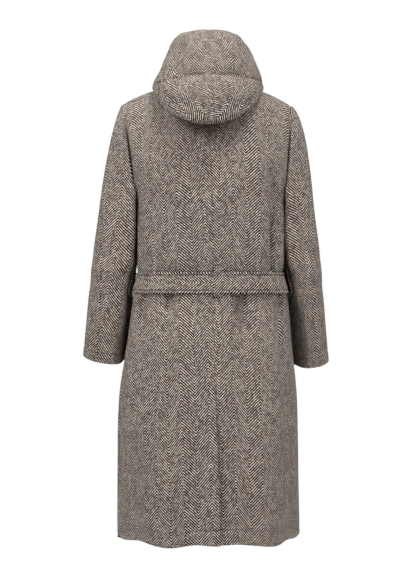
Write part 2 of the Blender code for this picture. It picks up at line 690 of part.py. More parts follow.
def knot():
    """The tie in front: a squared pillow between the belt's ends, moved out until it clears the fronts."""
    belt_row = round_the_waist()[0][row_of(BELT_FOOT) - row_of(LOOP_FOOT)]
    start_x, end_x = belt_row[0, 0], belt_row[-1, 0]
    half_width = (end_x - start_x) / 2 - 2 * SEAM_GAP
    turn = np.linspace(0, 2 * np.pi, KNOT_TURNS, endpoint=False)
    tilt = np.linspace(0, np.pi, KNOT_RINGS)[1:-1, None]
    swell = roundness(np.sin(tilt), np.cos(tilt), KNOT_SQUARENESS)
    ring, level = np.sin(tilt) * swell, np.cos(tilt) * swell
    stand_out = roundness(np.sin(turn), np.cos(turn), KNOT_SQUARENESS)
    seat = torso(np.array(180.0), BELT_MIDDLE + KNOT_HALF_HEIGHT * level)[..., 1]
    middle_y = np.max(seat + KNOT_DEPTH / 2 * ring) + SEAM_GAP
    middle = np.array([(start_x + end_x) / 2, middle_y, BELT_MIDDLE])
    body = points(
        half_width * ring * np.cos(turn) * stand_out,
        KNOT_DEPTH / 2 * ring * np.sin(turn) * stand_out,
        KNOT_HALF_HEIGHT * level,
    )
    top = points(0, 0, KNOT_HALF_HEIGHT)
    return middle + body, middle + top, middle - top


def belt_tail(side):
    """One free end of the belt, hanging from the tie over the fronts and splayed to its side."""
    top = BELT_MIDDLE - KNOT_HALF_HEIGHT - TAIL_DROP
    down = np.linspace(0, 1, TAIL_CELLS + 1)[:, None]
    heights = top - TAIL_LENGTH * down
    centre = side * (TAIL_WIDTH / 2 + TAIL_PARTING + TAIL_SPLAY[side] * down)
    x = centre + np.array(TAIL_EDGES) * TAIL_WIDTH
    at_front = read(BODY, "half_width", heights)
    angle = 180 - np.degrees(np.arcsin((x - read(BODY, "shift", heights)) / at_front))
    outer = torso(angle, heights)
    across = torso(angle - TAIL_SLOPE_STEP, heights) - torso(angle + TAIL_SLOPE_STEP, heights)
    upwards = torso(angle, heights + TAIL_SLOPE_STEP) - torso(angle, heights - TAIL_SLOPE_STEP)
    outward = unit(np.cross(upwards, across))
    lift = TAIL_CLEAR + TAIL_LIFT * np.sin(np.pi * down) * np.array(TAIL_BELLY)
    on_coat = outer + outward * lift[..., None]
    return on_coat + outward * BELT_WALL, on_coat


def wool(name, shade):
    """A piece's own matt wool material, of the coat's colour made lighter or darker by shade."""
    material = bpy.data.materials.new(f"wool_{name}")
    material.use_nodes = True
    shader = material.node_tree.nodes["Principled BSDF"]
    colour = [min(1, value * shade) for value in WOOL_COLOUR[:3]]
    shader.inputs["Base Color"].default_value = (*colour, 1)
    shader.inputs["Roughness"].default_value = WOOL_ROUGHNESS
    shader.inputs["Metallic"].default_value = 0
    return material


def turned_over(face):
    """A face seen from its other side, cut along the same diagonal."""
    return face[:1] + face[:0:-1]


def add_object(name, vertices, faces, shade, parent):
    """Make a named object from points and faces, with its faces turned outwards."""
    vertices = np.asarray(vertices, float) * MM
    corners = [[face[0], face[i], face[i + 1]] for face in faces for i in range(1, len(face) - 1)]
    a, b, c = (vertices[[corner[i] for corner in corners]] for i in range(3))
    if np.sum(a * np.cross(b, c)) < 0:
        faces = [turned_over(face) for face in faces]
    mesh = bpy.data.meshes.new(name)
    mesh.from_pydata(vertices.tolist(), [], faces)
    mesh.shade_smooth()
    mesh.set_sharp_from_angle(angle=np.radians(SHARP_EDGE))
    mesh.materials.append(wool(name, WOOL_SHADES[shade]))
    piece = bpy.data.objects.new(name, mesh)
    piece.parent = parent
    bpy.context.scene.collection.objects.link(piece)


def add_wall(name, outer, inner, shade, parent):
    """Make a closed wall from the grids of its outer and its inner face."""
    rows, columns = outer.shape[:2]
    number = np.arange(rows * columns).reshape(rows, columns)
    under = number + rows * columns
    quads = np.stack([number[:-1, :-1], number[:-1, 1:], number[1:, 1:], number[1:, :-1]], axis=-1)
    faces = quads.reshape(-1, 4).tolist()
    faces += [[i + rows * columns for i in turned_over(quad)] for quad in faces]
    rims = (
        (number[0], under[0], False),
        (number[-1], under[-1], True),
        (number[:, 0], under[:, 0], True),
        (number[:, -1], under[:, -1], False),
    )
    for top, bottom, turned in rims:
        rim = np.stack([top[:-1], bottom[:-1], bottom[1:], top[1:]], axis=-1)
        faces += (rim[:, ::-1] if turned else rim).tolist()
    vertices = np.concatenate([outer.reshape(-1, 3), inner.reshape(-1, 3)])
    add_object(name, vertices, faces, shade, parent)


def add_pillow(name, rings, top, foot, shade, parent):
    """Make a closed pillow from rings between two poles."""
    count, turns = rings.shape[:2]
    number = np.arange(count * turns).reshape(count, turns)
    beside = np.roll(number, -1, axis=1)
    quads = np.stack([number[:-1], number[1:], beside[1:], beside[:-1]], axis=-1)
    faces = quads.reshape(-1, 4).tolist()
    faces += [[count * turns, a, b] for a, b in zip(number[0].tolist(), beside[0].tolist())]
    faces += [[count * turns + 1, b, a] for a, b in zip(number[-1].tolist(), beside[-1].tolist())]
    vertices = np.concatenate([rings.reshape(-1, 3), top[None], foot[None]])
    add_object(name, vertices, faces, shade, parent)


def build():
    """Clear the scene and make the coat, one object for each piece that is cut and sewn."""
    for item in list(bpy.data.objects):
        bpy.data.objects.remove(item, do_unlink=True)
    coat = bpy.data.objects.new("coat_origin", None)
    bpy.context.scene.collection.objects.link(coat)
    for word, side in SIDES.items():
        for face, half in ((BACK, back_half), (FRONT, front_half)):
            for part, wall in divided(*half(side)).items():
                add_wall(f"{part}_{face}_{word}", *wall, "body", coat)
        add_wall(f"hood_{word}", *hood_half(side), "hood", coat)
        for face in (BACK, FRONT):
            add_wall(f"sleeve_{word}_{face}", *sleeve_half(side, face), "sleeve", coat)
        add_wall(f"belt_end_{word}", *belt_tail(side), "belt", coat)
    add_wall("vent_underlap", *vent_underlap(), "body", coat)
    add_wall("belt", *belt(), "belt", coat)
    add_pillow("belt_knot", *knot(), "belt", coat)
    front_columns = PANEL_CELLS - BELT_END_CELL
    first_back = front_columns + PANEL_CELLS
    cell = np.diff(round_the_waist()[0][0, first_back : first_back + 2, 0])[0]
    half_width = BACK_LOOP_WIDTH / 2 / cell
    back_centre = first_back + half_width + BACK_LOOP_FROM_SEAM / cell
    add_wall("belt_loop_back", *belt_loop(back_centre, half_width, BACK_LOOP_STAND_OFF), "loop", coat)
    for word, seam in (("left", front_columns), ("right", first_back + PANEL_CELLS)):
        loop = belt_loop(seam, SIDE_LOOP_HALF_CELLS, SIDE_LOOP_STAND_OFF)
        add_wall(f"belt_loop_{word}", *loop, "loop", coat)


build()
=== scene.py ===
"""The looks of a long hooded wool coat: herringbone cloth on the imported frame, in a pale studio.

The back of the coat faces -Y, its front faces +Y and the wearer's right is +X. The forms follow the frame's
own tables on finer grids, softened by a few millimetres at the belt. Sizes are in millimetres and degrees;
MM turns the finished points into metres.
"""

import logging
from dataclasses import dataclass, field
from enum import Enum, IntEnum
from functools import partial
from typing import Any, NamedTuple

import bpy
import numpy as np
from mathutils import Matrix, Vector
from numpy.typing import NDArray


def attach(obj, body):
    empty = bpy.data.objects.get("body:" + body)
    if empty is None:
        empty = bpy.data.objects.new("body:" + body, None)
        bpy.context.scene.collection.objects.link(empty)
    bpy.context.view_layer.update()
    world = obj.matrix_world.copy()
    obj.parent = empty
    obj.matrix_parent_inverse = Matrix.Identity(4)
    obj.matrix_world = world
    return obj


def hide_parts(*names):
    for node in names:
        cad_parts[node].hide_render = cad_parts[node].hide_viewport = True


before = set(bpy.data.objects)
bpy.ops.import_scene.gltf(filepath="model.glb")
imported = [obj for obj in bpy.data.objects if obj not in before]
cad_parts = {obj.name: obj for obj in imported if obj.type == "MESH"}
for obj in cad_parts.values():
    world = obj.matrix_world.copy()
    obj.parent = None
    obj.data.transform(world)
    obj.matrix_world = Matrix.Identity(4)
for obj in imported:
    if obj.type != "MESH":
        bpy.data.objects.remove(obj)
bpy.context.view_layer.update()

LOG = logging.getLogger("hooded_coat")
Array = NDArray[np.float64]
Pair = tuple[float, float]
Triple = tuple[float, float, float]
Stops = tuple[tuple[float, str], ...]
Lines = list[tuple[Array, Array]]
Material = bpy.types.Material

MM = 0.001
BODY = "root"
WEAVE_MAP = "weave"

# Heights, from the base of the neck
HEM = -1142
VENT_TOP = -655
LOOP_FOOT = -527
BELT_FOOT = -517
BELT_MIDDLE = -492
BELT_TOP = -467
LOOP_TOP = -450
CHEST = -285

# Turned-up hems: the stitch line's height, the band's swell, its fade and the groove along the stitches
HEM_STITCH = 37
HEM_SWELL = 0.6
HEM_FADE = 7
HEM_GROOVE = 1.5
HEM_GROOVE_SPREAD = 1.9
STITCH_CELL = 1.1

# Cloth and seams
WALL = 2.5
SEAM_GAP = 0.3
HALF_GAP = SEAM_GAP / 2
EDGE_SHARE = 0.0008
EDGE_ROUND = 0.45
CELL = 4.5
FINE_STEPS = (1.2, 2.4, 3.8, 5.6, 8.0)
SHARP_EDGE = 55
GRAIN_LOST = 0.8
TINY = 1e-9

# Laying a piece flat: rounds, a hold so faint that it only stops drift, and a triangle's least side
FLAT_ROUNDS = 60
FLAT_HOLD = 1e-6
FLAT_LEAST_SIDE = 0.6

# How many finer waves a noise has, how dark doubled cloth is, and a Mix node's two colours and settings
PLAIN, SOFT, FINE = 1, 2, 3
DOUBLED_TONE = 0.98
MIX_A, MIX_B = 6, 7
MIX_COLOURS = {"output": 2, "data_type": "RGBA"}


class Side(IntEnum):
    """Which side of the wearer a piece is on; the value is its sign along X."""

    LEFT = -1
    RIGHT = 1

    @property
    def word(self) -> str:
        """The side's name as it stands in the names of nodes."""
        return self.name.lower()


class Face(Enum):
    """Which face of the coat a piece is on."""

    BACK = "back"
    FRONT = "front"


class Edge(Enum):
    """An edge of a cloth's grid: its first or last row, its first or last column."""

    FOOT = "foot"
    TOP = "top"
    START = "start"
    END = "end"


class Slot(Enum):
    """The record's material slots."""

    COAT = "coat_wool"
    BELT = "belt_wool"


class Sides(NamedTuple):
    """A value for the wearer's left and one for the right."""

    left: Any
    right: Any

    def on(self, side: Side) -> Any:
        """The value for a side."""
        return self.left if side is Side.LEFT else self.right


class Section(NamedTuple):
    """One level of the body: a squared oval, with the angles of its side seam and its centre-back seam."""

    name: str
    height: float
    half_width: float
    back: float
    front: float
    shift: float
    seam_angle: float
    centre_angle: float


class Fold(NamedTuple):
    """A large upright fold of the body, at an angle round it and between two heights."""

    angle: float
    spread: float
    push: float
    foot: float
    top: float


class Crease(NamedTuple):
    """A soft trough (depth below 0) or ridge along a bowed line between two places of a cloth's own map."""

    across: float
    along: float
    end_across: float
    end_along: float
    width: float
    depth: float
    bow: float = 0.0


class Ripple(NamedTuple):
    """A faint wave of the cloth: its lengths across and along, its height and its phase in turns."""

    across: float
    along: float
    height: float
    phase: float


class Pull(NamedTuple):
    """How a column leaves the chest line and reaches the top line: pulls in Y and in Z."""

    start_y: float
    start_z: float
    end_y: float
    end_z: float


class ArmholeCrease(NamedTuple):
    """The crease along the back of an armhole seam: where it is deepest, its run, its depth and its width."""

    turn: float
    turn_spread: float
    depth: float
    spread: float


class Ring(NamedTuple):
    """One level of a sleeve: reaches, gap to the body, turn of the outside seam, wrap round the body."""

    name: str
    height: float
    outer: float
    clear: float
    back: float
    front: float
    top_seam: float
    wrap: float


class Hang(NamedTuple):
    """How one sleeve hangs: its swing out, its drop, the reach of its cap and its share of the wrap."""

    swing_top: float
    swing_cuff: float
    drop: float
    cap_reach: float
    wrap_share: float


class SleeveFold(NamedTuple):
    """A large fold of a sleeve, by turn and height; slant lifts it with its turn."""

    name: str
    turn: float
    turn_spread: float
    height: float
    height_spread: float
    slant: float
    push: float


class HoodRow(NamedTuple):
    """One row of the hood, from the middle of the back past its side to the face opening."""

    name: str
    back_y: float
    back_z: float
    side_x: float
    side_y: float
    side_z: float
    front_x: float
    front_y: float
    front_z: float
    dip: float
    lean: float


class Lamp(NamedTuple):
    """A soft round light: its place and width in metres, and its power in watts."""

    name: str
    place: Triple
    size: float
    power: float


class Loop(NamedTuple):
    """A belt loop: its node, its middle's angle and half width on the body, and its gap to the belt."""

    node: str
    angle: float
    half_angle: float
    stand_off: float


def smooth_step(x: Array) -> Array:
    """0 below 0, 1 above 1 and an even slope between: x squared times (3 - 2x)."""
    x = np.clip(x, 0, 1)
    return x * x * (3 - 2 * x)


def points(x: Any, y: Any, z: Any) -> Array:
    """Stack three arrays, stretched to one shape, as points."""
    return np.stack(np.broadcast_arrays(x, y, z), axis=-1).astype(float)


def unit(vectors: Array) -> Array:
    """The same directions with length 1."""
    return vectors / np.maximum(np.linalg.norm(vectors, axis=-1, keepdims=True), TINY)


def sine_cosine(degrees: Any) -> tuple[Array, Array]:
    """The sine and the cosine of angles in degrees."""
    return np.sin(np.radians(degrees)), np.cos(np.radians(degrees))


def off_turn(angle: Any, centre: float) -> Array:
    """How far angles lie from one of them, between -180 and 180."""
    return (angle - centre + 180) % 360 - 180


def nearest(values: Array, value: float) -> int:
    """The number of the place that is nearest to a value."""
    return int(np.argmin(np.abs(values - value)))


def moved(base: Array, outward: Array, push: Array) -> Array:
    """Points moved by a push along their outward directions."""
    return base + outward * push[..., None]


def bell(x: Array) -> Array:
    """A soft hump of height 1 at 0: e to the power of minus x squared."""
    return np.exp(-(x**2))


def roundness(sine: Array, cosine: Array, squareness: float) -> Array:
    """How far a squared oval stands out from the plain one: the p-norm of (sine, cosine) to the power -1."""
    return (np.abs(sine) ** squareness + np.abs(cosine) ** squareness) ** (-1 / squareness)


def hermite(start: Array, end: Array, leaving: Array, arriving: Array, t: Array) -> Array:
    """The cubic from start to end that leaves and arrives with the given pulls.

    Args:
        start, end: The curve's end points.
        leaving, arriving: Its pulls at the two ends.
        t: Places along it, from 0 to 1.

    Returns:
        The curve's points.
    """
    return (
        (2 * t**3 - 3 * t**2 + 1) * start
        + (t**3 - 2 * t**2 + t) * leaving
        + (3 * t**2 - 2 * t**3) * end
        + (t**3 - t**2) * arriving
    )


def curve_through(knots: Any, values: Any, at: Array) -> Array:
    """Read a smooth curve through a table's points: cubic pieces whose slopes never overshoot.

    Args:
        knots: The rising places of the table's rows.
        values: The value of each row.
        at: Where to read the curve.

    Returns:
        The curve's values; each inner slope is the harmonic mean of its neighbours', or 0 at a turn.
    """
    knots, values = np.asarray(knots, float), np.asarray(values, float)
    gaps = np.diff(knots)
    slopes = np.diff(values) / gaps
    before, after = slopes[:-1], slopes[1:]
    same_way = before * after > 0
    total = np.where(same_way, before + after, 1)
    inner = np.where(same_way, 2 * before * after / total, 0)
    tangents = np.concatenate([slopes[:1], inner, slopes[-1:]])
    piece = np.clip(np.searchsorted(knots, at) - 1, 0, len(gaps) - 1)
    t = (at - knots[piece]) / gaps[piece]
    leaving, arriving = tangents[piece] * gaps[piece], tangents[piece + 1] * gaps[piece]
    return hermite(values[piece], values[piece + 1], leaving, arriving, t)


def read(table: tuple[Any, ...], height: Any, *names: str) -> list[Array]:
    """Read columns of a table of heights smoothly at any height.

    Args:
        table: Rows that each have a height.
        height: Where to read them.
        names: The columns' names.

    Returns:
        The values of each column there.
    """
    rows = sorted(table, key=lambda row: row.height)
    knots, at = [row.height for row in rows], np.asarray(height, float)
    return [curve_through(knots, [getattr(row, name) for row in rows], at) for name in names]


def run_lengths(grid: Array, axis: int) -> Array:
    """The distance run along one axis of a grid of points, from its first row or column."""
    steps = np.linalg.norm(np.diff(grid, axis=axis), axis=-1)
    return np.insert(np.cumsum(steps, axis=axis), 0, 0, axis=axis)


def unrolled(grid: Array, way: Array, column: int) -> Array:
    """Unroll one direction of a grid of points onto a flat map.

    Args:
        grid: The points.
        way: The direction at each point.
        column: The column the map starts from.

    Returns:
        The parts of the grid's steps along that way, summed up the column and then out along each row.
    """
    upward = np.sum(np.diff(grid[:, column], axis=0) * (way[1:, column] + way[:-1, column]), axis=-1) / 2
    outward = np.sum(np.diff(grid, axis=1) * (way[:, 1:] + way[:, :-1]), axis=-1) / 2
    start = np.concatenate([[0], np.cumsum(upward)])[:, None]
    run = np.concatenate([np.zeros((len(grid), 1)), np.cumsum(outward, axis=1)], axis=1)
    return start + run - run[:, [column]]


def grain_map(base: Array, outward: Array, grain: Array, column: int) -> Array:
    """The weave map of a piece whose grain is one way laid onto its surface.

    Args:
        base: The piece's plain form.
        outward: Its outward directions.
        grain: The grain's way; where little of it lies on the surface, the grid's own way up takes over.
        column: The column the map starts from.

    Returns:
        Two coordinates for each point: the grid's steps beside and along the grain, summed.
    """
    grain = grain - outward * np.sum(grain * outward, axis=-1, keepdims=True)
    lost = smooth_step((GRAIN_LOST - np.linalg.norm(grain, axis=-1, keepdims=True)) / GRAIN_LOST)
    grain = unit(grain + lost * unit(np.gradient(base, axis=0)))
    beside = np.cross(outward, grain)
    return np.stack([unrolled(base, way, column) for way in (beside, grain)], axis=-1)


def laid_flat(base: Array, step: tuple[int, int]) -> Array:
    """Lay a piece flat as it was cut, with as little stretch as can be.

    A net over the piece is parted into triangles. In each round every triangle turns to the angle its corners
    have taken in the plane, and a least-squares sum weighted by area sews the turned triangles together.

    Args:
        base: The piece's plain form.
        step: How many rows and columns of the grid lie between the net's knots.

    Returns:
        Two coordinates for each point; straight lines carry the knots' places to the whole grid.
    """
    rows, columns = (np.append(np.arange(0, n - 1, s), n - 1) for n, s in zip(base.shape, step))
    net = base[np.ix_(rows, columns)]
    knot = np.arange(net[..., 0].size).reshape(net.shape[:2])
    lower = (knot[:-1, :-1], knot[:-1, 1:], knot[1:, :-1])
    upper = (knot[1:, 1:], knot[1:, :-1], knot[:-1, 1:])
    corner, second, third = (np.concatenate([a.ravel(), b.ravel()]) for a, b in zip(lower, upper))
    places = net.reshape(-1, 3)
    along, beside = places[second] - places[corner], places[third] - places[corner]
    side = np.maximum(np.linalg.norm(along, axis=1), FLAT_LEAST_SIDE)
    height = np.maximum(np.linalg.norm(np.cross(along, beside), axis=1) / side, FLAT_LEAST_SIDE)
    share = np.sum(along * beside, axis=1) / side**2
    each = np.arange(len(corner))
    slopes = np.zeros((2, len(corner), len(places)))
    slopes[0, each, second] = 1 / side
    slopes[0, each, corner] = -1 / side
    slopes[1, each, third] = 1 / height
    slopes[1, each, second] = -share / height
    slopes[1, each, corner] = (share - 1) / height
    slopes = slopes.reshape(-1, len(places))
    weighted = (slopes * np.tile(side * height, 2)[:, None]).T
    sewn = np.linalg.solve(weighted @ slopes + FLAT_HOLD * np.eye(len(places)), weighted)
    flat = np.stack([run_lengths(net, 1), run_lengths(net, 0)], axis=-1).reshape(-1, 2)
    quarter_turn = np.array([[0, 1], [-1, 0]])
    for _ in range(FLAT_ROUNDS):
        across, up = (slopes @ flat).reshape(2, -1, 2)
        turn = unit(across - up @ quarter_turn)
        flat = sewn @ np.concatenate([turn, turn @ quarter_turn])
    flat = flat.reshape(*knot.shape, 2)
    for axis, knots in ((0, rows), (1, columns)):
        flat = np.apply_along_axis(lambda v: np.interp(np.arange(base.shape[axis]), knots, v), axis, flat)
    return flat


def facing(grid: Array, sign: float) -> Array:
    """Outward directions of a grid of points: its slope across times its slope up, turned by a sign."""
    return unit(np.cross(np.gradient(grid, axis=1), np.gradient(grid, axis=0))) * sign


def graded(length: float, fine_start: bool = True, fine_end: bool = True) -> Array:
    """Places from 0 to 1 along a length: even cells, with narrow ones beside an edge that needs them.

    Args:
        length: The length in mm.
        fine_start, fine_end: Whether the cells narrow towards the start and towards the end.

    Returns:
        The rising places.
    """
    even = np.linspace(0, length, round(length / CELL) + 1)
    fine = np.array(FINE_STEPS)
    reach = fine[-1] + CELL / 2
    low = reach if fine_start else 0
    high = length - reach if fine_end else length
    inner = even[(even >= low) & (even <= high)]
    start = fine if fine_start else fine[:0]
    end = length - fine if fine_end else fine[:0]
    return np.unique(np.concatenate([[0, length], start, inner, end])) / length


def with_fine(places: Array, centre: float, reach: float, step: float) -> Array:
    """Add narrow steps round one place, in place of the even ones there.

    Args:
        places: The rising places.
        centre: The place that needs narrow steps.
        reach: How far they run on each side.
        step: Their size.

    Returns:
        The rising places with the narrow steps among them.
    """
    fine = np.arange(centre - reach, centre + reach + step / 2, step)
    kept = places[np.abs(places - centre) > reach + step]
    inside = fine[(fine > places[0] + step) & (fine < places[-1] - step)]
    return np.unique(np.concatenate([kept, inside, places[[0, -1]]]))


def turned(inward: Array, edge: Array, distance: Array, reach: float) -> Array:
    """A wall's inward directions, turned to those of its edge within a reach of it, by a smooth step."""
    near = (1 - smooth_step(distance / reach))[..., None]
    return unit(inward * (1 - near) + edge * near)


def hem_relief(up: Array, stitch: float, fade: float) -> Array:
    """How far a turned-up hem pushes the cloth: a swell below its stitch line and a groove along it."""
    groove = HEM_GROOVE * bell((up - stitch) / HEM_GROOVE_SPREAD)
    return HEM_SWELL * smooth_step((stitch - up) / fade) - groove


def crease_push(
    creases: tuple[Crease, ...], across: Array, along: Array, scale: float = 1.0, closed: bool = False
) -> Array:
    """How far creases push a cloth out: a bell across each bowed line, fading to its two ends.

    Args:
        creases: The creases, on the same map as across and along.
        across, along: The map's two coordinates at each point.
        scale: How many mm one step of across is, where it is an angle.
        closed: Whether across is an angle round a closed form.

    Returns:
        The push in mm, below 0 in a trough.
    """
    push = np.zeros(np.broadcast(across, along).shape)
    for crease in creases:
        off = (off_turn(across, crease.across) if closed else across - crease.across) * scale
        rise = along - crease.along
        line = np.array([(crease.end_across - crease.across) * scale, crease.end_along - crease.along])
        length = np.hypot(*line)
        way = line / length
        t = (off * way[0] + rise * way[1]) / length
        arch = np.clip(4 * t * (1 - t), 0, None)
        lateral = rise * way[0] - off * way[1] - crease.bow * arch
        push = push + crease.depth * bell(lateral / crease.width) * np.sqrt(arch)
    return push


def ripple_push(ripples: tuple[Ripple, ...], across: Array, along: Array) -> Array:
    """How far faint waves push a cloth out: a sine of across and along for each wave."""
    waves = [r.height * np.sin(2 * np.pi * (across / r.across + along / r.along + r.phase)) for r in ripples]
    return np.sum(waves, axis=0)


def linear(colour: str) -> tuple[float, float, float, float]:
    """An sRGB hex colour as linear red, green, blue and alpha."""
    values = np.array([int(colour[i : i + 2], 16) for i in (1, 3, 5)]) / 255
    return (*np.where(values <= 0.04045, values / 12.92, ((values + 0.055) / 1.055) ** 2.4).tolist(), 1.0)


def add_node(
    tree: bpy.types.NodeTree,
    kind: str,
    *feeds: Any,
    named: dict | None = None,
    output: Any = 0,
    **settings: Any,
) -> Any:
    """Add a shader node, set it up, link what feeds it and hand on one of its outputs.

    Args:
        tree: The node tree.
        kind: The node's type name without its common beginning.
        feeds: Values or output sockets for its first inputs, in order.
        named: The same for inputs by name or number.
        output: The output to hand on, by name or number.
        settings: The node's own properties.

    Returns:
        The output socket, or the node where it has no outputs.
    """
    node = tree.nodes.new(f"ShaderNode{kind}")
    for name, value in settings.items():
        setattr(node, name, value)
    for key, value in {**dict(enumerate(feeds)), **(named or {})}.items():
        if isinstance(value, bpy.types.NodeSocket):
            tree.links.new(value, node.inputs[key])
        else:
            node.inputs[key].default_value = value
    return node.outputs[output] if node.outputs else node


def new_material(name: str) -> tuple[Material, Any]:
    """Start a node material.

    Args:
        name: Its name.

    Returns:
        The empty material, and what adds a node to it.
    """
    material = bpy.data.materials.new(name)
    material.use_nodes = True
    material.node_tree.nodes.clear()
    return material, partial(add_node, material.node_tree)


def mottle(add: Any, grain: float, detail: int, colours: tuple[str, str]) -> tuple[Any, Any]:
    """Mix two colours by noise that reads Object coordinates.

    Args:
        add: Adds a node to the material.
        grain: The size of the noise's lumps in mm.
        detail: How many finer waves it has.
        colours: The two colours.

    Returns:
        The noise and the mixed colour.
    """
    place = add("TexCoord", output="Object")
    noise = add("TexNoise", named={"Vector": place, "Scale": 1 / (grain * MM), "Detail": detail})
    first, second = (linear(colour) for colour in colours)
    return noise, add("Mix", noise, named={MIX_A: first, MIX_B: second}, **MIX_COLOURS)


def fill_ramp(node: bpy.types.Node, stops: Stops) -> None:
    """Set a colour ramp's stops.

    Args:
        node: The ramp.
        stops: Places and hex colours, in rising order.
    """
    elements = node.color_ramp.elements
    for place, colour in stops[2:]:
        elements.new(place).color = linear(colour)
    for element, (place, colour) in zip(elements, stops):
        element.position, element.color = place, linear(colour)


@dataclass(frozen=True)
class HerringboneWool:
    """Herringbone wool tweed, woven in broken twill from a dark and a pale yarn and lightly napped.

    The eye gets matt zigzag stripes, yarns that stray in tint from pink-brown to grey-green, a few bright
    flecks, and a faint pale sheen where the nap is seen edge-on. Real twill lines lie about 6.9 mm apart;
    they and the yarns across them are drawn slightly coarser, so that they show.
    """

    name: str = "herringbone_wool_tweed"
    stripe: float = 34.6
    twill: float = 7.25
    slope: float = 1.12
    yarn: float = 1.5
    wobble: float = 0.9
    wobble_length: float = 1.6
    stray: float = 1.4
    stray_length: float = 26.0
    fuzz: float = 0.9
    fray: float = 0.6
    pale_from: float = 0.5
    pale_full: float = 0.74
    tint_step: float = 0.43
    tint_length: float = 38.0
    tint_range: Pair = (0.25, 0.75)
    pale: Stops = ((0.0, "#d6c0b3"), (0.36, "#dacbc0"), (0.5, "#e2d6cb"), (0.66, "#dacfc3"), (1.0, "#d0c7ba"))
    dark: Stops = ((0.0, "#24180f"), (0.4, "#1d140e"), (0.62, "#19110c"), (1.0, "#201a13"))
    fleck: str = "#b5624a"
    fleck_spacing: float = 15.0
    fleck_size: float = 0.10
    fleck_cells: float = 0.75
    fleck_strength: float = 0.8
    yarn_float: float = 3.0
    float_shades: Pair = (0.5, 1.5)
    cloud: float = 70.0
    cloud_depth: float = 0.16
    cloud_floor: float = 0.92
    relief: Triple = (0.5, 0.15, 0.5)
    bump_height: float = 0.7
    bump_strength: float = 0.6
    roughness: Pair = (0.78, 1.0)
    specular: float = 0.12
    sheen: float = 0.08
    sheen_roughness: float = 0.5
    sheen_tint: str = "#d8cfc6"

    def material(self, tone: float = 1.0) -> Material:
        """Build the material; phase = (along + zigzag of across) / twill pitch, pale where its sine is high.

        Args:
            tone: Makes the whole cloth lighter or darker.

        Returns:
            The material, which reads the piece's weave map in metres.
        """
        material, add = new_material(self.name)
        weave = add("UVMap", uv_map=WEAVE_MAP)
        across, along = add("SeparateXYZ", weave).node.outputs[:2]
        sizes = (self.wobble_length, self.stray_length, self.fuzz, self.cloud)
        wobble, stray, fuzz, cloud = (
            add("TexNoise", named={"Vector": weave, "Scale": 1 / (size * MM), "Detail": detail})
            for size, detail in zip(sizes, (PLAIN, SOFT, SOFT, SOFT))
        )

        # Zigzag of the twill: the yarns across step up and down in stripes
        wobble = add("Math", wobble, self.wobble * MM, -self.wobble * MM / 2, operation="MULTIPLY_ADD")
        stepped = add("Math", add("Math", across, wobble, operation="ADD"), self.yarn * MM, operation="SNAP")
        zigzag = add("Math", stepped, self.stripe * MM, operation="PINGPONG")
        stray = add("Math", stray, self.stray * MM, -self.stray * MM / 2, operation="MULTIPLY_ADD")
        rise = add("Math", zigzag, self.slope, along, operation="MULTIPLY_ADD")
        line = add("Math", add("Math", rise, stray, operation="ADD"), self.twill * MM, operation="DIVIDE")
        wave = add("Math", add("Math", line, 2 * np.pi, operation="MULTIPLY"), operation="SINE")
        frayed = add("Math", fuzz, self.fray, -self.fray / 2, operation="MULTIPLY_ADD")
        frayed = add("Math", wave, frayed, operation="ADD")
        limits = {"Value": frayed, "From Min": self.pale_from, "From Max": self.pale_full}
        share = add("MapRange", named=limits, interpolation_type="SMOOTHSTEP")

        # Tints run along the yarns: each twill line has its own, which drifts along the line
        twill_line = add("Math", line, operation="FLOOR")
        number = add("Math", twill_line, self.tint_step, operation="MULTIPLY")
        drift = add("Math", across, self.tint_length * MM, operation="DIVIDE")
        tint = add("TexNoise", named={"Vector": add("CombineXYZ", number, drift), "Scale": 1, "Detail": FINE})
        low, high = self.tint_range
        tint = add("MapRange", named={"Value": tint, "From Min": low, "From Max": high})
        pale, dark = add("ValToRGB", tint), add("ValToRGB", tint)
        fill_ramp(pale.node, self.pale)
        fill_ramp(dark.node, self.dark)
        cloth = add("Mix", share, named={MIX_A: dark, MIX_B: pale}, **MIX_COLOURS)

        # A few bright flecks of dyed fibre on the pale yarn, in one cell of four
        places = {"Vector": weave, "Scale": 1 / (self.fleck_spacing * MM)}
        cells = add("TexVoronoi", named=places).node.outputs
        chosen = add("Math", add("SeparateColor", cells["Color"]), self.fleck_cells, operation="GREATER_THAN")
        spot = add("Math", cells["Distance"], self.fleck_size, operation="LESS_THAN")
        for factor in (share, chosen, self.fleck_strength):
            spot = add("Math", spot, factor, operation="MULTIPLY")
        cloth = add("Mix", spot, named={MIX_A: cloth, MIX_B: linear(self.fleck)}, **MIX_COLOURS)

        # Each float of a yarn over the others has its own shade, and the whole cloth clouds a little
        column = add("Math", add("Math", across, self.yarn_float * MM, operation="DIVIDE"), operation="FLOOR")
        place = add("CombineXYZ", twill_line, column)
        own = add("TexWhiteNoise", named={"Vector": place}, noise_dimensions="2D")
        low, high = self.float_shades
        own = add("MapRange", named={"Value": own, "To Min": low, "To Max": high})
        shade = add("Math", cloud, self.cloud_depth * tone, self.cloud_floor * tone, operation="MULTIPLY_ADD")
        shade = add("Math", shade, own, operation="MULTIPLY")
        shaded = {MIX_A: cloth, MIX_B: shade}
        cloth = add("Mix", 1.0, named=shaded, blend_type="MULTIPLY", **MIX_COLOURS)

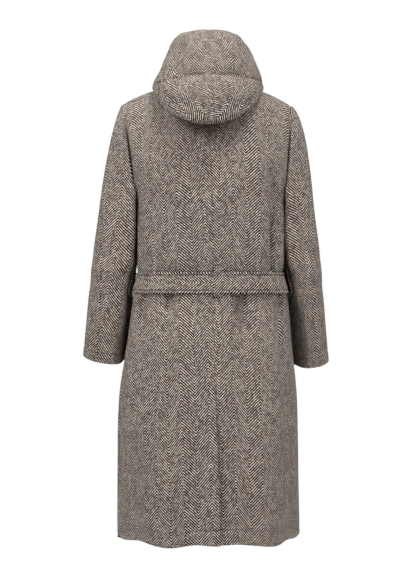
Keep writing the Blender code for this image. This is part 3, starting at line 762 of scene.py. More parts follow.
        # Relief: twill lines, the yarns across them and loose fibre
        yarns = add("Math", across, 2 * np.pi / (self.yarn * MM), operation="MULTIPLY")
        yarns = add("Math", yarns, operation="COSINE")
        height = 0.0
        for form, weight in zip((wave, yarns, fuzz), self.relief):
            height = add("Math", form, weight, height, operation="MULTIPLY_ADD")
        bump = {"Height": height, "Strength": self.bump_strength, "Distance": self.bump_height * MM}
        low, high = self.roughness
        finish = {
            "Base Color": cloth,
            "Roughness": add("MapRange", named={"Value": fuzz, "To Min": low, "To Max": high}),
            "Normal": add("Bump", named=bump),
            "Specular IOR Level": self.specular,
            "Sheen Weight": self.sheen,
            "Sheen Roughness": self.sheen_roughness,
            "Sheen Tint": linear(self.sheen_tint),
        }
        add("OutputMaterial", add("BsdfPrincipled", named=finish))
        return material


@dataclass(frozen=True)
class SewingThread:
    """Spun polyester sewing thread, twisted from fine strands: dark brown with a soft gleam."""

    name: str = "spun_sewing_thread"
    colours: tuple[str, str] = ("#2b221c", "#4a3c32")
    grain: float = 0.5
    bump_height: float = 0.2
    bump_strength: float = 0.4
    roughness: Pair = (0.55, 0.8)

    def material(self) -> Material:
        """Build the material: noise of the strand's size mixes the thread's two browns.

        Returns:
            The material.
        """
        material, add = new_material(self.name)
        strands, colour = mottle(add, self.grain, SOFT, self.colours)
        low, high = self.roughness
        rough = add("MapRange", named={"Value": strands, "To Min": low, "To Max": high})
        bump = {"Height": strands, "Strength": self.bump_strength, "Distance": self.bump_height * MM}
        finish = {"Base Color": colour, "Roughness": rough, "Normal": add("Bump", named=bump)}
        add("OutputMaterial", add("BsdfPrincipled", named=finish))
        return material


@dataclass(frozen=True)
class StudioPaper:
    """Matt white background paper: pale, even, with a trace of pulp."""

    name: str = "studio_paper"
    colours: tuple[str, str] = ("#efeeec", "#e6e4e1")
    grain: float = 25.0
    roughness: float = 0.9

    def material(self) -> Material:
        """Build the material: soft noise between two near whites.

        Returns:
            The material.
        """
        material, add = new_material(self.name)
        colour = mottle(add, self.grain, FINE, self.colours)[1]
        finish = {"Base Color": colour, "Roughness": self.roughness}
        add("OutputMaterial", add("BsdfPrincipled", named=finish))
        return material


def tube_faces(number: Array) -> Array:
    """Quads between neighbouring rings of point numbers, closed round each ring."""
    low, high = number[..., :-1, :], number[..., 1:, :]
    return np.stack([low, high, np.roll(high, -1, -1), np.roll(low, -1, -1)], axis=-1).reshape(-1, 4)


def mesh_object(
    name: str, vertices: Array, faces: list, material: Material, flat: Array | None = None
) -> bpy.types.Object:
    """Make a smooth mesh object at the origin.

    Args:
        name: The piece's name.
        vertices: Its points in mm.
        faces: Its faces as lists of point numbers, turned outwards.
        material: Its finish.
        flat: Its weave map in mm, where it has one.

    Returns:
        The linked object, with its weave map in metres.
    """
    mesh = bpy.data.meshes.new(name)
    mesh.from_pydata((vertices * MM).tolist(), [], faces)
    mesh.shade_smooth()
    mesh.set_sharp_from_angle(angle=np.radians(SHARP_EDGE))
    mesh.materials.append(material)
    if flat is not None:
        corners = np.empty(len(mesh.loops), int)
        mesh.loops.foreach_get("vertex_index", corners)
        mesh.uv_layers.new(name=WEAVE_MAP).data.foreach_set("uv", (flat * MM)[corners].ravel())
    piece = bpy.data.objects.new(name, mesh)
    bpy.context.scene.collection.objects.link(piece)
    return piece


@dataclass
class Cloth:
    """A cut piece of cloth as a grid: outer points, the way its wall thickens, its weave map and its wall."""

    name: str
    outer: Array
    inward: Array
    weave: Array
    wall: float = WALL
    free: dict[Edge, Any] = field(default_factory=dict)

    def flat(self) -> Pair:
        """The width and length of the flat cut, in metres: the extent of its weave map."""
        extent = np.ptp(self.weave.reshape(-1, 2), axis=0) * MM
        return float(extent[0]), float(extent[1])

    def rim(self) -> Array:
        """The numbers of the grid's border points, in order round it."""
        number = np.arange(self.outer[..., 0].size).reshape(self.outer.shape[:2])
        return np.concatenate([number[0, :-1], number[:-1, -1], number[-1, :0:-1], number[:0:-1, 0]])

    def rim_bulge(self) -> Array:
        """How the edge's middle bulges out past the border: away from the cloth, by how free each edge is.

        Returns:
            The bulge at each border point, in order round the grid.
        """
        grid = self.outer
        bulge = np.zeros_like(grid)
        borders = {
            Edge.FOOT: (np.s_[0], np.s_[1]),
            Edge.TOP: (np.s_[-1], np.s_[-2]),
            Edge.START: (np.s_[:, 0], np.s_[:, 1]),
            Edge.END: (np.s_[:, -1], np.s_[:, -2]),
        }
        for edge, weight in self.free.items():
            border, beside = borders[edge]
            bulge[border] += unit(grid[border] - grid[beside]) * np.reshape(weight, (-1, 1))
        return (bulge * self.wall * EDGE_ROUND).reshape(-1, 3)[self.rim()]

    def build(self, material: Material) -> bpy.types.Object:
        """Make the closed wall: outer grid, inner grid, and a rounded rim of two strips between them.

        Args:
            material: The cloth's finish.

        Returns:
            The object, with its weave map.
        """
        outer = self.outer.reshape(-1, 3)
        inner = (self.outer + self.inward * self.wall).reshape(-1, 3)
        count = len(outer)
        number = np.arange(count).reshape(self.outer.shape[:2])
        quads = np.stack([number[:-1, :-1], number[:-1, 1:], number[1:, 1:], number[1:, :-1]], axis=-1)
        quads = quads.reshape(-1, 4)
        border = self.rim()
        middle = 2 * count + np.arange(len(border))
        ahead, middle_ahead = np.roll(border, -1), np.roll(middle, -1)
        strips = [
            np.stack([ahead, border, middle, middle_ahead], axis=-1),
            np.stack([middle_ahead, middle, border + count, ahead + count], axis=-1),
        ]
        faces = np.concatenate([quads, quads[:, ::-1] + count, *strips])
        if np.sum(facing(self.outer, 1) * self.inward) > 0:
            faces = faces[:, ::-1]
        edge = (outer[border] + inner[border]) / 2 + self.rim_bulge()
        flat = self.weave.reshape(-1, 2)
        flat = np.concatenate([flat, flat, flat[border]])
        return mesh_object(self.name, np.concatenate([outer, inner, edge]), faces.tolist(), material, flat)


@dataclass
class StitchRun:
    """A row of topstitches along a path on the cloth: short capsules of thread, half sunk into it."""

    length: float = 4.2
    gap: float = 1.6
    radius: float = 0.55
    sides: int = 6
    sink: float = 0.1
    rings: tuple[Pair, ...] = ((-1.0, 0.35), (-0.7, 1.0), (0.7, 1.0), (1.0, 0.35))

    def capsules(self, path: Array, outward: Array) -> Array:
        """Lay capsules end to end along a path: rings round its tangent at even steps of its length.

        Args:
            path: The line's points.
            outward: The cloth's outward direction at each.

        Returns:
            The points of all the capsules, by stitch, ring and side.
        """
        run = run_lengths(path, 0)
        count = max(1, int(run[-1] // (self.length + self.gap)))
        at = (np.arange(count) + 0.5) * run[-1] / count
        reads = (path, outward, unit(np.gradient(path, axis=0)))
        middle, up, along = (np.stack([np.interp(at, run, g[:, k]) for k in range(3)], -1) for g in reads)
        along, up = unit(along), unit(up)
        beside = unit(np.cross(along, up))
        turn = np.linspace(0, 2 * np.pi, self.sides, endpoint=False)[:, None]
        place, thick = np.array(self.rings).T[:, None, :, None, None]
        shift = along[:, None, None] * place * self.length / 2
        round_it = beside[:, None] * np.cos(turn) + up[:, None] * np.sin(turn)
        return (middle - up * self.sink)[:, None, None] + shift + round_it[:, None] * thick * self.radius

    def build(self, name: str, lines: Lines, material: Material) -> bpy.types.Object:
        """Join the capsules of several lines into one piece.

        Args:
            name: The piece's name.
            lines: The path and the outward directions of each line.
            material: The thread's finish.

        Returns:
            The object.
        """
        grids = np.concatenate([self.capsules(path, outward) for path, outward in lines])
        number = np.arange(grids[..., 0].size).reshape(grids.shape[:3])
        caps = np.concatenate([number[:, 0], number[:, -1, ::-1]])
        faces = tube_faces(number).tolist() + caps.tolist()
        return mesh_object(name, grids.reshape(-1, 3), faces, material)


@dataclass(frozen=True)
class BodyForm:
    """The coat's body: squared ovals from hem to chest, then columns that rise to neck and shoulders.

    Angle 0 is the middle of the back and 90 is +X. Share runs from a panel's centre to its side seam.
    """

    squareness: float = 2.5
    fold_fade: float = 110
    droop: float = 0.7
    droop_reach: float = 120
    neck_half: float = 92
    neck_side: Pair = (8, 14)
    neck_back: Pair = (-70, -10)
    neck_front: Pair = (84, -58)
    neck_share: float = 0.5
    first_share: float = 0.1
    back_turn: float = 18
    front_turn: float = 12
    shoulder_bow: float = 8
    armhole_back: float = 72
    armhole_front: float = 66
    hollow_power: float = 3
    pull_back: Pull = Pull(0, 330, 100, 220)
    pull_front: Pull = Pull(0, 300, 70, 230)
    pull_shoulder: Pull = Pull(-40, 480, 300, -20)
    tips: Sides = Sides((219, 4, -24), (215, 4, -30))
    armhole_creases: Sides = Sides(ArmholeCrease(86, 36, 21, 6.5), ArmholeCrease(88, 42, 17, 5.5))
    hem_rise: float = 9
    hem_rise_angle: float = 82
    hem_rise_spread: float = 18
    sections: tuple[Section, ...] = (
        Section("hem", HEM, 233, 160, 156, 3, 70, 6.6),
        Section("calf", -960, 233, 157, 153, 2, 71, 5.4),
        Section("knee", -800, 229, 151, 148, 2, 73, 4.2),
        Section("seat", -665, 216, 140.5, 140, 3, 76, 3.2),
        Section("hip", -565, 205, 123.5, 128, 5, 79, 2.6),
        Section("under the belt", -531, 200.5, 118.5, 121.5, 6, 79.7, 2.4),
        Section("belt foot", BELT_FOOT, 199, 118, 121, 6, 80, 2.3),
        Section("belt top", BELT_TOP, 188, 112, 116, 6, 81, 2.1),
        Section("over the belt", -459, 189, 115.5, 120, 6.4, 81.4, 2.05),
        Section("blouse", -434, 190, 119.5, 124, 7, 82, 2.0),
        Section("ribs", -370, 190, 123, 126, 7, 83, 1.8),
        Section("chest", CHEST, 190, 124, 126, 7, 84, 1.5),
    )
    folds: tuple[Fold, ...] = (
        # Back bodice: a ridge or a trough by each armhole, and a trough left of the spine
        Fold(40, 7, 4, -455, -190),
        Fold(51, 6, -7, -458, -200),
        Fold(-55, 8, 4, -455, -190),
        Fold(-30, 8, -3, -458, -230),
        # Back skirt: from left of the vent to right of it, then one trough at each side
        Fold(-24, 11, 8, -1300, -545),
        Fold(-9, 7, -3, -1300, -600),
        Fold(17, 7, -6, -1200, -545),
        Fold(39, 11, 9, -1300, -560),
        Fold(-47, 9, -6, -1300, -530),
        Fold(54, 7, -5, -1250, -530),
        # Front skirt: a ridge and a trough on each side
        Fold(-122, 12, 8, -1300, -550),
        Fold(-143, 10, -6, -1300, -560),
        Fold(128, 12, 8, -1300, -550),
        Fold(146, 9, -6, -1300, -560),
        # Front bodice: a ridge on each side
        Fold(-132, 10, 4, -455, -230),
        Fold(136, 10, 4, -455, -230),
    )

    def push(self, angle: Array, height: Array) -> Array:
        """How far the large folds push the body out: a bell round it, fading at each fold's foot and top.

        Args:
            angle, height: Places on the body.

        Returns:
            The push in mm.
        """
        push = np.zeros(np.broadcast(angle, height).shape)
        for fold in self.folds:
            rise = smooth_step((height - fold.foot) / self.fold_fade)
            fall = smooth_step((fold.top - height) / self.fold_fade)
            push = push + fold.push * bell(off_turn(angle, fold.angle) / fold.spread) * rise * fall
        return push

    def torso(self, angle: Array, height: Array) -> Array:
        """The body below the chest: its reach times sine and cosine of the angle, squared out.

        Args:
            angle, height: Places on the body.

        Returns:
            The outer points; the hem droops where a fold pushes out, and rises at the right side.
        """
        sine, cosine = sine_cosine(angle)
        stand_out = roundness(sine, cosine, self.squareness)
        push = self.push(angle, height)
        half_width, back, front, shift = read(self.sections, height, "half_width", "back", "front", "shift")
        x = shift + (half_width + push) * stand_out * sine
        y = -(np.where(cosine > 0, back, front) + push) * stand_out * cosine
        near_hem = 1 - smooth_step((height - HEM) / self.droop_reach)
        rise = self.hem_rise * bell(off_turn(angle, self.hem_rise_angle) / self.hem_rise_spread)
        return points(x, y, height + (rise - self.droop * push) * near_hem)

    def angle(self, side: Side, face: Face, share: Array, height: Array) -> Array:
        """The angle of a panel's column at a height.

        Args:
            side, face: Which panel.
            share, height: Places on it.

        Returns:
            The angle in degrees.
        """
        seam, centre = read(self.sections, height, "seam_angle", "centre_angle")
        if face is Face.BACK:
            return centre + share * (side * seam - centre)
        return side * (180 - share * (180 - seam))

    def neckline(self, side: Side, face: Face, turn: Array) -> Array:
        """The neck seam; turn runs from 0 at the middle of the face to 90 at the neck point.

        Args:
            side, face: Which panel.
            turn: Places along the seam.

        Returns:
            Its points: half an oval that dips with the square of the cosine.
        """
        sine, cosine = sine_cosine(turn)
        reach, low = self.neck_back if face is Face.BACK else self.neck_front
        side_y, side_z = self.neck_side
        height = side_z + (low - side_z) * cosine**2
        return points(side * self.neck_half * sine, side_y + reach * cosine, height)

    def tip(self, side: Side) -> Array:
        """The outer end of a shoulder seam."""
        return points(*self.tips.on(side)) * points(side, 1, 1)

    def top_line(self, side: Side, face: Face, share: Array) -> Array:
        """The top edge of a panel: the neckline, then the shoulder seam with its slight bow.

        Args:
            side, face: Which panel.
            share: Its columns.

        Returns:
            The edge's points.
        """
        first = self.back_turn if face is Face.BACK else self.front_turn
        shares = [0, self.first_share, self.neck_share]
        turn = np.sign(share) * np.interp(np.abs(share), shares, [0, first, 90])
        neck_point = self.neckline(side, face, np.array(90.0))
        along = ((share - self.neck_share) / (1 - self.neck_share))[..., None]
        bow = points(0, 0, self.shoulder_bow) * np.sin(np.pi * np.clip(along, 0, 1))
        shoulder = neck_point + (self.tip(side) - neck_point) * along + bow
        return np.where(along > 0, shoulder, self.neckline(side, face, turn))

    def armhole(self, side: Side, turn: Array) -> Array:
        """The armhole seam: turn 0 is the shoulder tip, 90 the back, 180 the underarm and 270 the front.

        Args:
            side: Which armhole.
            turn: Places round it.

        Returns:
            Its points: an upright oval, hollowed into back and front.
        """
        turn = np.asarray(turn, float)
        sine, cosine = sine_cosine(turn)
        under = self.torso(np.array(side * self.sections[-1].seam_angle), np.array(float(CHEST)))
        up = (1 + cosine)[..., None] / 2
        reach = np.where(sine > 0, self.armhole_back, self.armhole_front)
        return under + (self.tip(side) - under) * up - points(0, 1, 0) * (reach * sine)[..., None]

    def armhole_inward(self, side: Side, turn: Array) -> Array:
        """The way from the armhole seam to the armhole's middle, with no part across the coat.

        Args:
            side: Which armhole.
            turn: Places round it.

        Returns:
            The directions.
        """
        middle = (self.armhole(side, np.array(0.0)) + self.armhole(side, np.array(180.0))) / 2
        inward = middle - self.armhole(side, turn)
        inward[..., 0] = 0
        return unit(inward)

    def armhole_crease(self, side: Side, turn: Array, distance: Array) -> Array:
        """The move that sinks the cloth into the crease at the back of an armhole seam.

        Args:
            side: Which armhole.
            turn: Places along the seam.
            distance: How far the cloth is from the seam there.

        Returns:
            The move, level towards the armhole's middle: a bell across the seam times a bell along it.
        """
        crease = self.armhole_creases.on(side)
        sink = crease.depth * bell((turn - crease.turn) / crease.turn_spread) * bell(distance / crease.spread)
        return self.armhole_inward(side, turn) * sink[..., None]

    def bodice(self, side: Side, face: Face, share: Array, rise: Array) -> Array:
        """A panel above the chest: cubics that leave the chest line upright and lean in to the top line.

        Args:
            side, face: Which panel.
            share, rise: Places on it; rise runs from 0 at the chest to 1 at the top.

        Returns:
            The points, before the armhole hollows them.
        """
        facing_sign = 1 if face is Face.BACK else -1
        centre = self.pull_back if face is Face.BACK else self.pull_front
        weight = smooth_step(np.abs(share) / self.neck_share)
        pulls = (low + (high - low) * weight for low, high in zip(centre, self.pull_shoulder))
        start_y, start_z, end_y, end_z = pulls
        at_chest = np.array(float(CHEST))
        chest = self.torso(self.angle(side, face, share, at_chest), at_chest)
        leaving, arriving = points(0, facing_sign * start_y, start_z), points(0, facing_sign * end_y, end_z)
        return hermite(chest, self.top_line(side, face, share), leaving, arriving, rise[..., None])

    def panel(self, side: Side, face: Face, share: Array, heights: Array, rises: Array) -> Array:
        """A half panel's outer points, rows from the hem to the top.

        Args:
            side, face: Which panel.
            share: Its columns.
            heights, rises: Its rows below and above the chest line.

        Returns:
            The grid; above the chest its outer columns are drawn onto the armhole seam.
        """
        heights, rises = heights[:, None], rises[:, None]
        below = self.torso(self.angle(side, face, share, heights), heights)
        above = self.bodice(side, face, share + 0 * rises, rises)
        edge = self.bodice(side, face, 1 + 0 * rises, rises)
        turn = 180 * (1 - rises) if face is Face.BACK else 180 * (1 + rises)
        hollow = np.clip(share, 0, None) ** self.hollow_power
        above = above + hollow[..., None] * (self.armhole(side, turn) - edge)
        return np.concatenate([below, above])


@dataclass(frozen=True)
class BodyDrape:
    """The body's own creases and ripples, by angle and height, held flat under the belt and its loops."""

    mm_per_degree: float = 3.2
    belt_reach: float = 4
    belt_fade: float = 16
    under_reach: float = -6
    under_fade: float = 5
    loop_angles: tuple[float, ...] = (-80.5, 6.1, 80.5)
    loop_spread: float = 6
    loop_fade: float = 18
    creases: tuple[Crease, ...] = (
        # The fold down to the belt on the right: its line, its deep foot, the ridge beside it
        Crease(53, -175, 51.5, -510, 8, -7.0, 3),
        Crease(52.5, -320, 51.5, -515, 5.5, -9.0, 1),
        Crease(45.5, -215, 45, -462, 7, 3.0, -2),
        # Drags from the armholes and the left shoulder blade
        Crease(-72, -212, -42, -304, 11, -1.7, 5),
        Crease(66, -190, 41, -272, 10, -1.9, -4),
        Crease(-36, -150, -58, -262, 15, -1.5, -7),
        # Gathers over the belt
        Crease(-62, -470, -58, -421, 6, -1.7),
        Crease(-40, -470, -42, -412, 6.5, -2.0),
        Crease(-15, -470, -13, -437, 5, -1.3),
        Crease(11, -470, 12, -424, 5.5, -1.7),
        Crease(28, -470, 25, -416, 6, -1.8),
        # Folds below the belt, each with its deep head: by the loop, right side, left side
        Crease(23, -490, 25, -670, 11, -8.0, 2),
        Crease(21.5, -484, 22, -630, 16, -16.0),
        Crease(57, -490, 54, -662, 9, -5.2, -3),
        Crease(62, -480, 60, -585, 11, -14.0),
        Crease(-30, -490, -31, -640, 11, -4.0, 3),
        Crease(-30, -480, -30, -570, 13, -11.0),
        # Long hollows and fullness by the vent, the left side seam and the sleeves
        Crease(34, -510, 33, -1260, 40, -9.0, 3),
        Crease(-75, -640, -74, -1330, 9, 6.5),
        Crease(14, -580, 12.5, -1130, 10, 4.5),
        Crease(68, -230, 69, -460, 14, 4.5),
        Crease(-68, -230, -69, -460, 14, 4.5),
        Crease(55, -560, 53, -1040, 9, -3.6, -4),
        # Gathers below the belt
        Crease(-21, -514, -22, -578, 6, -1.8),
        Crease(-52, -482, -54, -590, 11, -9.0),
        Crease(40, -514, 42, -566, 6, -1.7),
        # Long folds of the back skirt
        Crease(-36, -690, -39, -1010, 15, -2.0, 5),
        Crease(27, -720, 24, -960, 13, -1.8, -4),
        # Pulls from the fronts to the tie, then falls below it
        Crease(173, -468, 149, -384, 9, -3.0, 7),
        Crease(165, -468, 130, -426, 8, -2.1, -4),
        Crease(-173, -468, -151, -371, 9.5, -2.8, -7),
        Crease(-164, -468, -126, -432, 8, -2.3, 4),
        Crease(171, -517, 151, -643, 9, -3.0, -6),
        Crease(158, -514, 126, -589, 8, -2.1, 4),
        Crease(-170, -517, -148, -660, 10, -3.2, 6),
        Crease(-156, -514, -124, -573, 8, -2.0, -4),
        # Gathers at the sides
        Crease(101, -514, 104, -604, 7, -2.0),
        Crease(-104, -514, -101, -583, 7, -1.8),
        # Drags from the front armholes
        Crease(109, -198, 139, -288, 11, -1.6, 4),
        Crease(-112, -207, -143, -281, 10, -1.5, -4),
        # Long folds of the front skirt
        Crease(137, -700, 141, -1030, 15, -2.0, 5),
        Crease(-134, -740, -131, -1060, 14, -1.8, -5),
    )
    ripples: tuple[Ripple, ...] = (
        Ripple(171, 905, 0.7, 0.10),
        Ripple(97, -610, 0.45, 0.43),
        Ripple(263, 318, 0.55, 0.71),
    )

    def push(self, angle: Array, height: Array) -> Array:
        """How far creases and ripples push the body out, held back by the belt and its loops.

        Args:
            angle, height: Places on the body.

        Returns:
            The push in mm.
        """
        across = angle * self.mm_per_degree
        push = crease_push(self.creases, angle, height, self.mm_per_degree, True)
        push = push + ripple_push(self.ripples, across, height)
        past_belt = np.maximum(BELT_FOOT - height, height - BELT_TOP)
        ridge_hold = 1 - smooth_step((past_belt - self.belt_reach) / self.belt_fade)
        trough_hold = 1 - smooth_step((past_belt - self.under_reach) / self.under_fade)
        hold = np.where(push > 0, ridge_hold, trough_hold)
        past_loop = np.maximum(LOOP_FOOT - height, height - LOOP_TOP)
        near_loop = np.sum([bell((angle - loop) / self.loop_spread) for loop in self.loop_angles], axis=0)
        loop_hold = near_loop * (1 - smooth_step(past_loop / self.loop_fade))
        return push * (1 - np.clip(np.maximum(hold, loop_hold), 0, 1))


@dataclass
class CoatPanel:
    """One back or front: a half of the body with its creases, its seams and its turned-up hem."""

    form: BodyForm
    drape: BodyDrape
    side: Side
    face: Face
    weave_shift: float = 0.0
    warp_lean: float = 0.03
    weft_drop: float = 0.085
    overlap: float = 0.0
    width: float = 285
    bodice_length: float = 290
    neck_clear: float = 0.004
    shoulder_fade: float = 0.05
    vent_top_fade: float = 14
    seam_dip: float = 1.1
    seam_spread: float = 2.4
    armhole_dip: float = 1.8
    armhole_spread: float = 5.0
    vent_rise: float = 9.0
    vent_reach: float = 0.2
    vent_fade: float = 330
    vent_hollow: float = 4.0
    hollow_reach: float = 0.12
    tuck: float = 3.3
    tuck_share: Pair = (0.2, 0.15)
    neck_parting: float = 0.25
    mitre_reach: float = 9

    def __post_init__(self) -> None:
        """Work out the panel's columns and rows."""
        span = 1 - EDGE_SHARE + self.overlap
        start = -self.overlap if self.overlap else EDGE_SHARE
        places = start + (span - max(start, 0)) * graded(self.width * (1 + self.overlap))
        neck = self.form.neck_share
        self.share = np.unique(np.append(places[np.abs(places - neck) > self.neck_clear], neck))
        below = HEM + (CHEST - HEM) * graded(CHEST - HEM, True, False)
        self.heights = with_fine(below, HEM + HEM_STITCH, HEM_FADE, STITCH_CELL)
        self.rises = graded(self.bodice_length, False, True)[1:] * (1 - EDGE_SHARE / 2)

    def beside_vent(self, depth: float, reach: float) -> Array:
        """A move beside the vent: 0 at its top and above, growing below, and fading across.

        Args:
            depth: The full move in mm.
            reach: The share of the panel over which it fades.

        Returns:
            The move for each row and column.
        """
        down = smooth_step((VENT_TOP - self.heights) / self.vent_fade)
        down = np.concatenate([down, np.zeros(len(self.rises))])[:, None]
        return depth * down * (1 - smooth_step(self.share / reach))

    def surface(self) -> tuple[Array, Array, Array]:
        """The panel before its seams.

        Returns:
            Its plain form, its outward directions and the push of its drape at each point.
        """
        form, side, face = self.form, self.side, self.face
        base = form.panel(side, face, self.share, self.heights, self.rises)
        outward = facing(base, side if face is Face.BACK else -side)
        below_chest = np.minimum(base[..., 2], CHEST)
        angle = form.angle(side, face, self.share, np.clip(below_chest, HEM, CHEST))
        return base, outward, self.drape.push(angle, base[..., 2])

    def weave(self, base: Array) -> Array:
        """The weave map: the runs from the centre and up from the hem, both slightly askew.

        Args:
            base: The panel's plain form.

        Returns:
            Two coordinates for each point.
        """
        across = run_lengths(base, 1)
        across = across - across[:, [nearest(self.share, 0)]]
        along = run_lengths(base[..., 1:], 0)
        over_belt = np.clip(along - (BELT_TOP - HEM), 0, None)
        return np.stack([across - self.warp_lean * over_belt, along + self.weft_drop * across], axis=-1)

    def seams(self, base: Array, weave: Array) -> Array:
        """How far seams and hem push the cloth: soft dips along each seam, a swell and groove at the hem.

        Args:
            base, weave: The panel's plain form and its weave map.

        Returns:
            The push in mm.
        """
        chest_row = len(self.heights) - 1
        above = (np.arange(len(base)) >= chest_row)[:, None]
        across = run_lengths(base, 1)
        from_side = across[:, [-1]] - across
        up = weave[..., 1]
        push = -self.seam_dip * bell(from_side / self.seam_spread) * ~above
        push = push - self.armhole_dip * bell(from_side / self.armhole_spread) * above
        on_shoulder = smooth_step((self.share - self.form.neck_share) / self.shoulder_fade)
        push = push - self.seam_dip * bell((up[-1] - up) / self.seam_spread) * on_shoulder
        if self.face is Face.BACK:
            closed = smooth_step((base[..., 2] - VENT_TOP) / self.vent_top_fade)
            push = push - self.seam_dip * bell(across / self.seam_spread) * closed
        return push + hem_relief(up, HEM_STITCH, HEM_FADE)

    def mitre(self, base: Array, inward: Array) -> Array:
        """Turn the wall's directions at the top and the armhole so that neighbouring walls meet cleanly.

        Args:
            base: The panel's plain form.
            inward: Its inward directions.

        Returns:
            The directions, blended over a short reach from each edge.
        """
        form, side = self.form, self.side
        tip = form.tip(side)
        slope = unit(points(-side * (form.neck_side[1] - tip[2]), 0, -(abs(tip[0]) - form.neck_half)))
        neck_inward = np.array([0, form.neck_side[0], 0]) - base[-1]
        neck_inward[:, 2] = 0
        top = np.where((self.share > form.neck_share + EDGE_SHARE)[:, None], slope, unit(neck_inward))
        up = run_lengths(base, 0)
        inward = turned(inward, top, up[-1] - up, self.mitre_reach)
        chest_row = len(self.heights) - 1
        rises = np.concatenate([[0], self.rises])
        turn = 180 * (1 - rises) if self.face is Face.BACK else 180 * (1 + rises)
        edge = form.armhole_inward(side, turn)[:, None]
        across = run_lengths(base, 1)[chest_row:]
        inward[chest_row:] = turned(inward[chest_row:], edge, across[:, [-1]] - across, self.mitre_reach)
        return inward

    def cloth(self) -> Cloth:
        """The panel's finished cloth.

        Returns:
            The cloth, from hem to neck in one.
        """
        base, outward, push = self.surface()
        weave = self.weave(base)
        push = push + self.seams(base, weave)
        free = {Edge.FOOT: 1.0}
        is_back, is_left = self.face is Face.BACK, self.side is Side.LEFT
        if is_back and is_left:
            lift = self.beside_vent(self.vent_rise, self.vent_reach)
            push = push + lift
            free[Edge.START] = lift[:, 0] / self.vent_rise
        elif is_back:
            push = push - self.beside_vent(self.vent_hollow, self.hollow_reach)
        else:
            free[Edge.START] = 1.0
        if not is_back and not is_left:
            start, fade = self.tuck_share
            push = push - self.tuck * (1 - smooth_step((self.share - start) / fade))
        outer = moved(base, outward, push)
        inward = self.mitre(base, -outward)
        chest_row = len(self.heights) - 1
        if is_back:
            run = run_lengths(base, 1)[chest_row:]
            turn = 180 * (1 - np.concatenate([[0], self.rises]))[:, None]
            outer[chest_row:] += self.form.armhole_crease(self.side, turn + 0 * run, run[:, [-1]] - run)
        shoulder = self.share >= self.form.neck_share - EDGE_SHARE
        apart = -HALF_GAP if is_back else HALF_GAP
        outer[-1, :, 1] += np.where(shoulder, apart, 0)
        outer[-1, :, 2] -= np.where(shoulder, 0, self.neck_parting)
        outer[chest_row:, -1, 0] -= self.side * HALF_GAP
        outer[chest_row:, -1, 2] -= HALF_GAP
        weave[..., 0] += self.weave_shift
        return Cloth(f"{self.face.value}_{self.side.word}_cloth", outer, inward, weave, WALL, free)

    def hem_line(self, cloth: Cloth) -> tuple[Array, Array]:
        """The hem's stitch line on the finished cloth, with its outward directions."""
        row = nearest(self.heights, HEM + HEM_STITCH)
        return cloth.outer[row], -cloth.inward[row]


@dataclass
class CoatBody:
    """The coat's body: two backs over a vent, and two fronts lapped left over right."""

    form: BodyForm
    drape: BodyDrape
    weave_shifts: Sides = Sides(-15.2, 24.5)
    front_overlap: float = 0.2
    front_width: float = 335
    underlap_share: float = 0.2
    underlap_clear: float = 0.6

    def underlap(self, back: CoatPanel) -> Cloth:
        """The strip of the right back under the left back: the left back's own form, sunk clear of its wall.

        Args:
            back: The left back.

        Returns:
            The strip's cloth.
        """
        base, outward, push = back.surface()
        lift = back.beside_vent(back.vent_rise, back.vent_reach)
        sink = back.beside_vent(back.vent_hollow, back.hollow_reach)
        sink = np.maximum(sink, WALL + self.underlap_clear - lift)
        weave = back.weave(base)
        swell = HEM_SWELL * smooth_step((HEM_STITCH - weave[..., 1]) / HEM_FADE)
        outer = moved(base, outward, push + swell - sink)
        weave[..., 0] = self.weave_shifts.right - weave[..., 0]
        part = np.ix_(back.heights <= VENT_TOP, back.share <= self.underlap_share)
        free = {Edge.FOOT: 1.0, Edge.END: 1.0}
        return Cloth("vent_underlap_cloth", outer[part], -outward[part], weave[part], WALL, free)

    def build(self, wool: Material) -> Lines:
        """Args:
            wool: The coat's cloth.

        Returns:
            The hem's stitch lines.
        """
        lines = []
        for side in Side:
            for face in Face:
                is_back = face is Face.BACK
                panel = CoatPanel(
                    self.form,
                    self.drape,
                    side,
                    face,
                    weave_shift=self.weave_shifts.on(side) if is_back else 0.0,
                    overlap=0.0 if is_back else self.front_overlap,
                    width=CoatPanel.width if is_back else self.front_width,
                )
                cloth = panel.cloth()
                nodes = [f"{part}_{face.value}_{side.word}" for part in ("bodice", "skirt")]
                place_cloth(cloth, nodes, wool)
                lines.append(panel.hem_line(cloth))
                if is_back and side is Side.LEFT:
                    place_cloth(self.underlap(panel), ["vent_underlap"], wool)
        return lines


